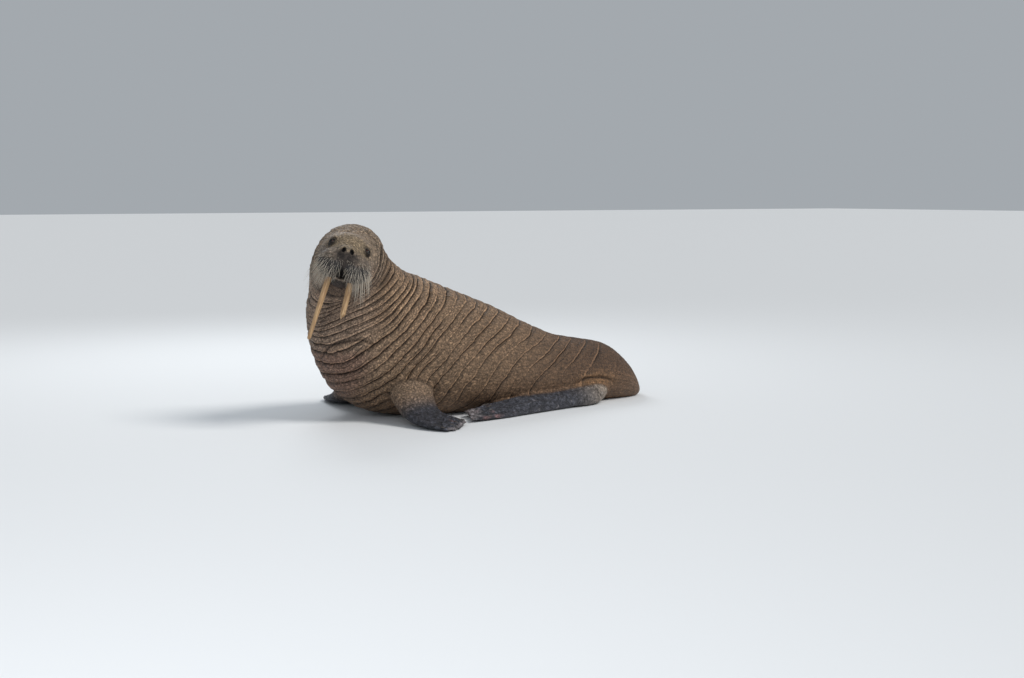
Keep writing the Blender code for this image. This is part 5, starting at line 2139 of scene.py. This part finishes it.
@dataclass
class Whiskers:
    """The stiff bristles of the muzzle, longest at the lower and outer rows."""

    head: Head
    spots: int = 860
    scatter: float = 0.025
    highest: float = 0.46
    radius: float = 0.00120
    taper: float = 0.88
    taper_power: float = 1.5
    shortest: float = 0.018
    longest: float = 0.114
    length_jitter: Span = (0.42, 1.15)
    left_sag: Span = (0.06, 0.18)
    fall: float = -0.36
    clear_tip: float = 0.004
    clear_middle: float = 0.002
    sides: int = 4
    rings: int = 6
    buried: float = -0.10

    def roots(self, side: Side) -> tuple[Array, Array, Array, Array]:
        """Where whiskers grow on one pad.

        Args:
            side: Which pad.

        Returns:
            Roots, directions and lengths, and each root's place on an unwrap of the pad.
        """
        draw = np.random.default_rng(SEED + 20 + side.value)
        number = np.arange(self.spots)
        forward = 1 - 2 * (number + 0.5) / self.spots
        ring = np.sqrt(1 - forward**2)
        turn = GOLDEN_TURN * number
        direction = np.stack([forward, ring * np.cos(turn), ring * np.sin(turn)], axis=1)
        direction = unit(direction + draw.normal(0, self.scatter, direction.shape))
        forward, outward, up = direction.T
        keep = (outward > -0.62) & (up < self.highest) & (forward > -0.20)
        keep &= ~((up < -0.86) & (outward < 0.1))
        keep &= draw.random(self.spots) > 0.62 * ease(-0.25, 0.35, up)
        direction = direction[keep]
        _, outward, up = direction.T
        root = self.head.settle(np.array(self.head.pad.middle) + direction * np.array(self.head.pad.size))
        low = ease(0.5, -0.8, up)
        wide = ease(-0.4, 0.8, outward)
        left_sag = between(self.left_sag, np.maximum(outward, 0))
        sag = np.stack([np.full(len(low), 0.16), left_sag, between((-0.42, -1.22), low)], axis=1)
        lie = unit(direction * 0.62 + sag + draw.normal(0, 0.08, direction.shape))
        length = self.shortest + (self.longest - self.shortest) * low * between((0.12, 1.0), wide)
        length = length * draw.uniform(*self.length_jitter, len(length))
        tips = self.spine(root, lie, length, 1.0)
        middle = self.spine(root, lie, length, 0.5)
        clear = self.head.distance(tips) > self.clear_tip
        clear &= self.head.distance(middle) > self.clear_middle
        place = np.stack([0.5 + side.value * (0.02 + 0.20 * (outward + 0.65)), 0.1 + 0.4 * (up + 1)], axis=1)
        return (root * side.flip)[clear], (lie * side.flip)[clear], length[clear], place[clear]

    def spine(self, root: Array, lie: Array, length: Array, stop: float) -> Array:
        """The middle of each whisker at a share of its length."""
        return root + (lie * stop + UP * self.fall * max(stop, 0) ** 2) * length[:, None]

    def build(self) -> Object:
        """Makes all the whiskers as one piece."""
        points: list[Array] = []
        patches: list[Array] = []
        for side in Side:
            root, lie, length, place = self.roots(side)
            across = unit(np.cross(lie, np.array(WHISKER_LEVEL)))
            other = np.cross(across, lie)
            size = self.radius * between((0.75, 1.0), length / self.longest)
            strands = []
            for stop in np.linspace(self.buried, 1.0, self.rings):
                thick = size * (1 - max(stop, 0) ** self.taper_power * self.taper)
                middle = self.spine(root, lie, length, stop)
                strands.append(strand_ring(middle, across, other, thick, self.sides))
            points.append(np.stack(strands, axis=1))
            patches.append(place)
        strands_all = placed(self.head.outward(np.concatenate(points)))
        whiskers = strand_object("whiskers", strands_all, np.concatenate(patches))
        whiskers.data.materials.append(WHISKER_FINISH.build())
        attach(whiskers, "root")
        return whiskers


@dataclass
class Coat:
    """Short stiff hair in thin tufts that lie back along the body and break its outline."""

    skin: Skin
    tufts: int = 36000
    pieces: int = 4
    body_length: float = 0.0115
    face_length: float = 0.0060
    length_jitter: Span = (0.6, 1.25)
    width: float = 0.0009
    face_width: float = 0.6
    taper: float = 0.86
    taper_power: float = 1.3
    flatness: float = 0.5
    lift: float = 0.0009
    face_lift: float = 0.5
    lift_bow: Span = (1.3, 0.25)
    lowest: float = 0.035
    sides: int = 3
    stops: tuple[float, ...] = (-0.12, 0.40, 1.0)
    nose: Place = (0.27, 0.0, 0.0)

    def build(self, ground: Mesh) -> list[Object]:
        """Grows the tufts on the skin.

        Args:
            ground: The skin's mesh.

        Returns:
            The coat's pieces.
        """
        draw = np.random.default_rng(SEED + 60)
        ground.calc_loop_triangles()
        corners = read_rows(ground.loop_triangles, "vertices", 3, np.int32)
        points = unplaced(read_points(ground))
        a, b, c = (points[corners[:, k]] for k in range(3))
        skin = self.skin
        weight = norm(np.cross(b - a, c - a))
        first = corners[:, 0]
        # no hair where the painted shade of a hollow is strong
        furred = (skin.bare[first] < 0.25) * (skin.hollow[first] < 0.45)
        weight *= (1 + 0.8 * skin.on_head[first]) * furred
        weight *= points[first][:, 2] > self.lowest
        chosen = draw.choice(len(corners), self.tufts, p=weight / weight.sum())
        share = np.sqrt(draw.random(self.tufts))[:, None]
        other = draw.random(self.tufts)[:, None]
        root = a[chosen] * (1 - share) + b[chosen] * share * (1 - other) + c[chosen] * share * other
        first = first[chosen]
        normal = unit(Skin.facing(ground)[first])
        back = self.backward(root, first)
        back = unit(back - normal * np.sum(back * normal, axis=1, keepdims=True))
        across = np.cross(normal, back)
        back = unit(back + across * draw.normal(0, 0.28, (self.tufts, 1)))
        across = unit(np.cross(normal, back))
        face = skin.on_head[first]
        length = between((self.body_length, self.face_length), face)
        length = length * draw.uniform(*self.length_jitter, self.tufts)
        lift = self.lift * between((1.0, self.face_lift), face)
        lift = lift * draw.uniform(0.5, 1.5, self.tufts)
        thick = self.width * between((1.0, self.face_width), face)
        rings = []
        for stop in self.stops:
            rise = lift * (self.lift_bow[0] * stop - self.lift_bow[1] * stop**2)
            middle = root + back * (length * stop)[:, None] + normal * rise[:, None]
            wide = thick * (1 - self.taper * max(stop, 0) ** self.taper_power)
            rings.append(strand_ring(middle, across, normal * self.flatness, wide, self.sides))
        strands = np.stack(rings, axis=1)
        # the hair takes the skin's colours, their painted shade included
        colour = skin.colour[first] * draw.uniform(0.60, 1.50, (self.tufts, 1))
        return self.assemble(strands, self.unwrap(root, first), colour)

    def backward(self, root: Array, first: Array) -> Array:
        """The way that hair lies: away from the nose on the head, and towards the rump on the body."""
        skin = self.skin
        at = skin.at[first]
        angle = skin.angle[first]
        step = 2 * skin.station_step
        rearward = unit(skin.trunk.base(at - step, angle) - skin.trunk.base(at + step, angle))
        away = unit(root - skin.head.outward(self.nose))
        return rearward + (away - rearward) * skin.on_head[first][:, None]

    def unwrap(self, root: Array, first: Array) -> Array:
        """Each root's place on an unwrap of the skin, with the head beside the trunk."""
        skin = self.skin
        spot = unit(skin.head.inward(root) - np.array(skin.head.core))
        body_round = 0.02 + 0.56 * full_share(skin.angle[first])
        body_along = skin.at[first] / skin.trunk.last
        face_round = 0.62 + 0.36 * full_share(np.arctan2(spot[:, 2], spot[:, 1]))
        face_along = np.arccos(np.clip(spot[:, 0], -1, 1)) / math.pi
        on_face = skin.on_head[first] > 0.5
        along = 0.02 + 0.96 * np.where(on_face, face_along, body_along)
        return np.stack([np.where(on_face, face_round, body_round), along], axis=1)

    def assemble(self, strands: Array, patches: Array, colour: Array) -> list[Object]:
        """Makes the pieces of the coat out of its strands.

        Args:
            strands: Points by strand, ring, side and coordinate, as forward, left and up.
            patches: Each strand's place on the unwrap.
            colour: Each strand's colour.

        Returns:
            The pieces.
        """
        skin = self.skin
        strands[..., 2] = np.clip(strands[..., 2], FLOOR, skin.top)
        finish = CoatFinish().build()
        made = []
        each = strands.shape[1] * strands.shape[2]
        for number in range(self.pieces):
            own = slice(number, None, self.pieces)
            piece = strand_object(f"coat_{number + 1}", placed(strands[own]), patches[own])
            store_colour(piece.data, "paint", np.repeat(colour[own], each, axis=0))
            piece.data.materials.append(finish)
            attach(piece, "root")
            made.append(piece)
        return made


def strand_ring(middle: Array, across: Array, other: Array, thick: Array, sides: int) -> Array:
    """A ring of points round each of many strands.

    Args:
        middle: The middle of each ring.
        across: One direction of each ring's plane.
        other: The other direction.
        thick: Each ring's radius.
        sides: How many points a ring has.

    Returns:
        Points by strand, side and coordinate.
    """
    turn = full_circle(sides)[None, :, None]
    ring = across[:, None, :] * np.cos(turn) + other[:, None, :] * np.sin(turn)
    return middle[:, None, :] + ring * thick[:, None, None]


def strand_object(name: str, strands: Array, patches: Array) -> Object:
    """Makes many closed tapered strands as one mesh.

    Args:
        name: The object's name.
        strands: Points by strand, ring, side and coordinate.
        patches: Each strand's place on the unwrap of what it grows on.

    Returns:
        The object, with a bake map where each strand is a small patch.
    """
    count, rings, sides, _ = strands.shape
    start = (np.arange(count) * rings * sides)[:, None, None]
    faces = (np.array(tube_quads(rings, sides))[None] + start).reshape(-1, 4)
    root_cap = tuple(range(sides))[::-1]
    tip_cap = tuple(range((rings - 1) * sides, rings * sides))
    caps = (np.array([root_cap, tip_cap])[None] + start).reshape(-1, sides)
    mesh = bpy.data.meshes.new(name)
    mesh.from_pydata(strands.reshape(-1, 3).tolist(), [], faces.tolist() + caps.tolist())
    mesh.shade_smooth()
    corner = read_rows(mesh.loops, "vertex_index", 1, np.int32)[:, 0]
    strand = corner // (rings * sides)
    ring = (corner % (rings * sides)) // sides
    side = corner % sides
    spot = patches[strand] + np.stack([side / sides - 0.5, ring / rings - 0.5], axis=1) * PATCH
    layer = mesh.uv_layers.new(name=BAKE_MAP)
    layer.data.foreach_set("uv", spot.astype(np.float32).ravel())
    return link_object(name, mesh)


@dataclass(frozen=True)
class Lamp:
    """One light: a far one is the same all over the floor, and its size is then its spread in degrees."""

    name: str
    place: Place
    size: float
    power: float
    tint: Colour
    far: bool = False
    aim: Place = (0.0, -0.2, 0.5)

    def build(self) -> None:
        """Makes the light and turns it towards the animal."""
        data = bpy.data.lights.new(self.name, "SUN" if self.far else "AREA")
        aim = Vector((0.0, 0.0, 0.0)) if self.far else Vector(self.aim)
        if self.far:
            data.angle = math.radians(self.size)
        else:
            data.shape = "DISK"
            data.size = self.size
        data.energy = self.power
        data.color = self.tint
        lamp = link_object(self.name, data)
        lamp.location = self.place
        lamp.rotation_euler = (aim - Vector(self.place)).to_track_quat("-Z", "Y").to_euler()


@dataclass(frozen=True)
class Studio:
    """A pale floor, soft light and the camera."""

    camera_forward: float = 6.2816
    camera_left: float = 8.692
    camera_height: float = 1.45
    heading: float = 58.0
    pitch: float = 5.597
    focal_pixels: float = 1500.0
    picture_width: float = 1024.0
    sensor: float = 36.0
    farthest: float = 200.0
    floor_half: float = 90.0
    floor_tone: Colour = (0.72, 0.74, 0.76)
    floor_roughness: float = 0.85
    sky: Colour = (0.80, 0.86, 0.92)
    sky_strength: float = 0.46
    lamps: tuple[Lamp, ...] = (
        Lamp("key", (4.0, 3.6, 5.6), 22.0, 2.1, (1.0, 0.965, 0.92), far=True),
        Lamp("fill", (6.0, -5.0, 3.4), 4.5, 100, (0.93, 0.96, 1.0)),
        Lamp("back", (-4.5, 0.5, 4.8), 3.0, 120, (0.95, 0.98, 1.0)),
    )

    def build(self) -> None:
        """Makes the floor, the lights and the camera."""
        self.floor()
        for lamp in self.lamps:
            lamp.build()
        world = bpy.data.worlds.new("studio")
        world.use_nodes = True
        background = world.node_tree.nodes["Background"]
        background.inputs["Color"].default_value = (*self.sky, 1.0)
        background.inputs["Strength"].default_value = self.sky_strength
        bpy.context.scene.world = world
        bpy.context.scene.view_settings.view_transform = "Standard"
        self.camera()

    def floor(self) -> None:
        """Makes the pale floor."""
        finish = Finish("studio_floor")
        finish.set(Base_Color=(*self.floor_tone, 1.0), Roughness=self.floor_roughness)
        corners = np.array([[-1, -1, 0], [1, -1, 0], [1, 1, 0], [-1, 1, 0]]) * self.floor_half
        mesh = bpy.data.meshes.new("floor")
        mesh.from_pydata(corners.tolist(), [], [(0, 1, 2, 3)])
        mesh.materials.append(finish.material)
        floor = link_object("floor", mesh)
        floor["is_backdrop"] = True

    def camera(self) -> None:
        """Makes the camera at the height and slope that the horizon gives."""
        data = bpy.data.cameras.new("camera")
        data.sensor_width = self.sensor
        data.lens = self.focal_pixels * self.sensor / self.picture_width
        data.clip_end = self.farthest
        camera = link_object("camera", data)
        place = np.array([self.camera_forward, self.camera_left, self.camera_height])
        camera.location = placed(place).tolist()
        camera.rotation_euler = (math.radians(90 - self.pitch), 0, math.radians(self.heading))
        bpy.context.scene.camera = camera


def main() -> None:
    """Builds each piece in order and reports it."""
    trunk = Trunk()
    head = Head()
    limbs = (FORE_FLIPPER, HIND_FLIPPER)
    hide = Skin(trunk, head, limbs, Tail())
    skin = hide.build()
    LOG.info("skin: %d faces", len(skin.data.polygons))
    for piece in Coat(hide).build(skin.data):
        LOG.info("coat: %s with %d faces", piece.name, len(piece.data.polygons))
    for eye in Eyes(head).build():
        LOG.info("eye: %s", eye.name)
    for tusk in Tusks(head).build():
        LOG.info("tusk: %s", tusk.name)
    claws = build_claws(limbs)
    LOG.info("claws: %d faces", len(claws.data.polygons))
    whiskers = Whiskers(head).build()
    LOG.info("whiskers: %d faces", len(whiskers.data.polygons))
    Studio().build()


if __name__ == "__main__":
    logging.basicConfig(level=logging.INFO, format="%(name)s: %(message)s")
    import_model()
    solid_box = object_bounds()
    main()
    [[list(map(float, corner)) for corner in box] for box in (solid_box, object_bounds())]
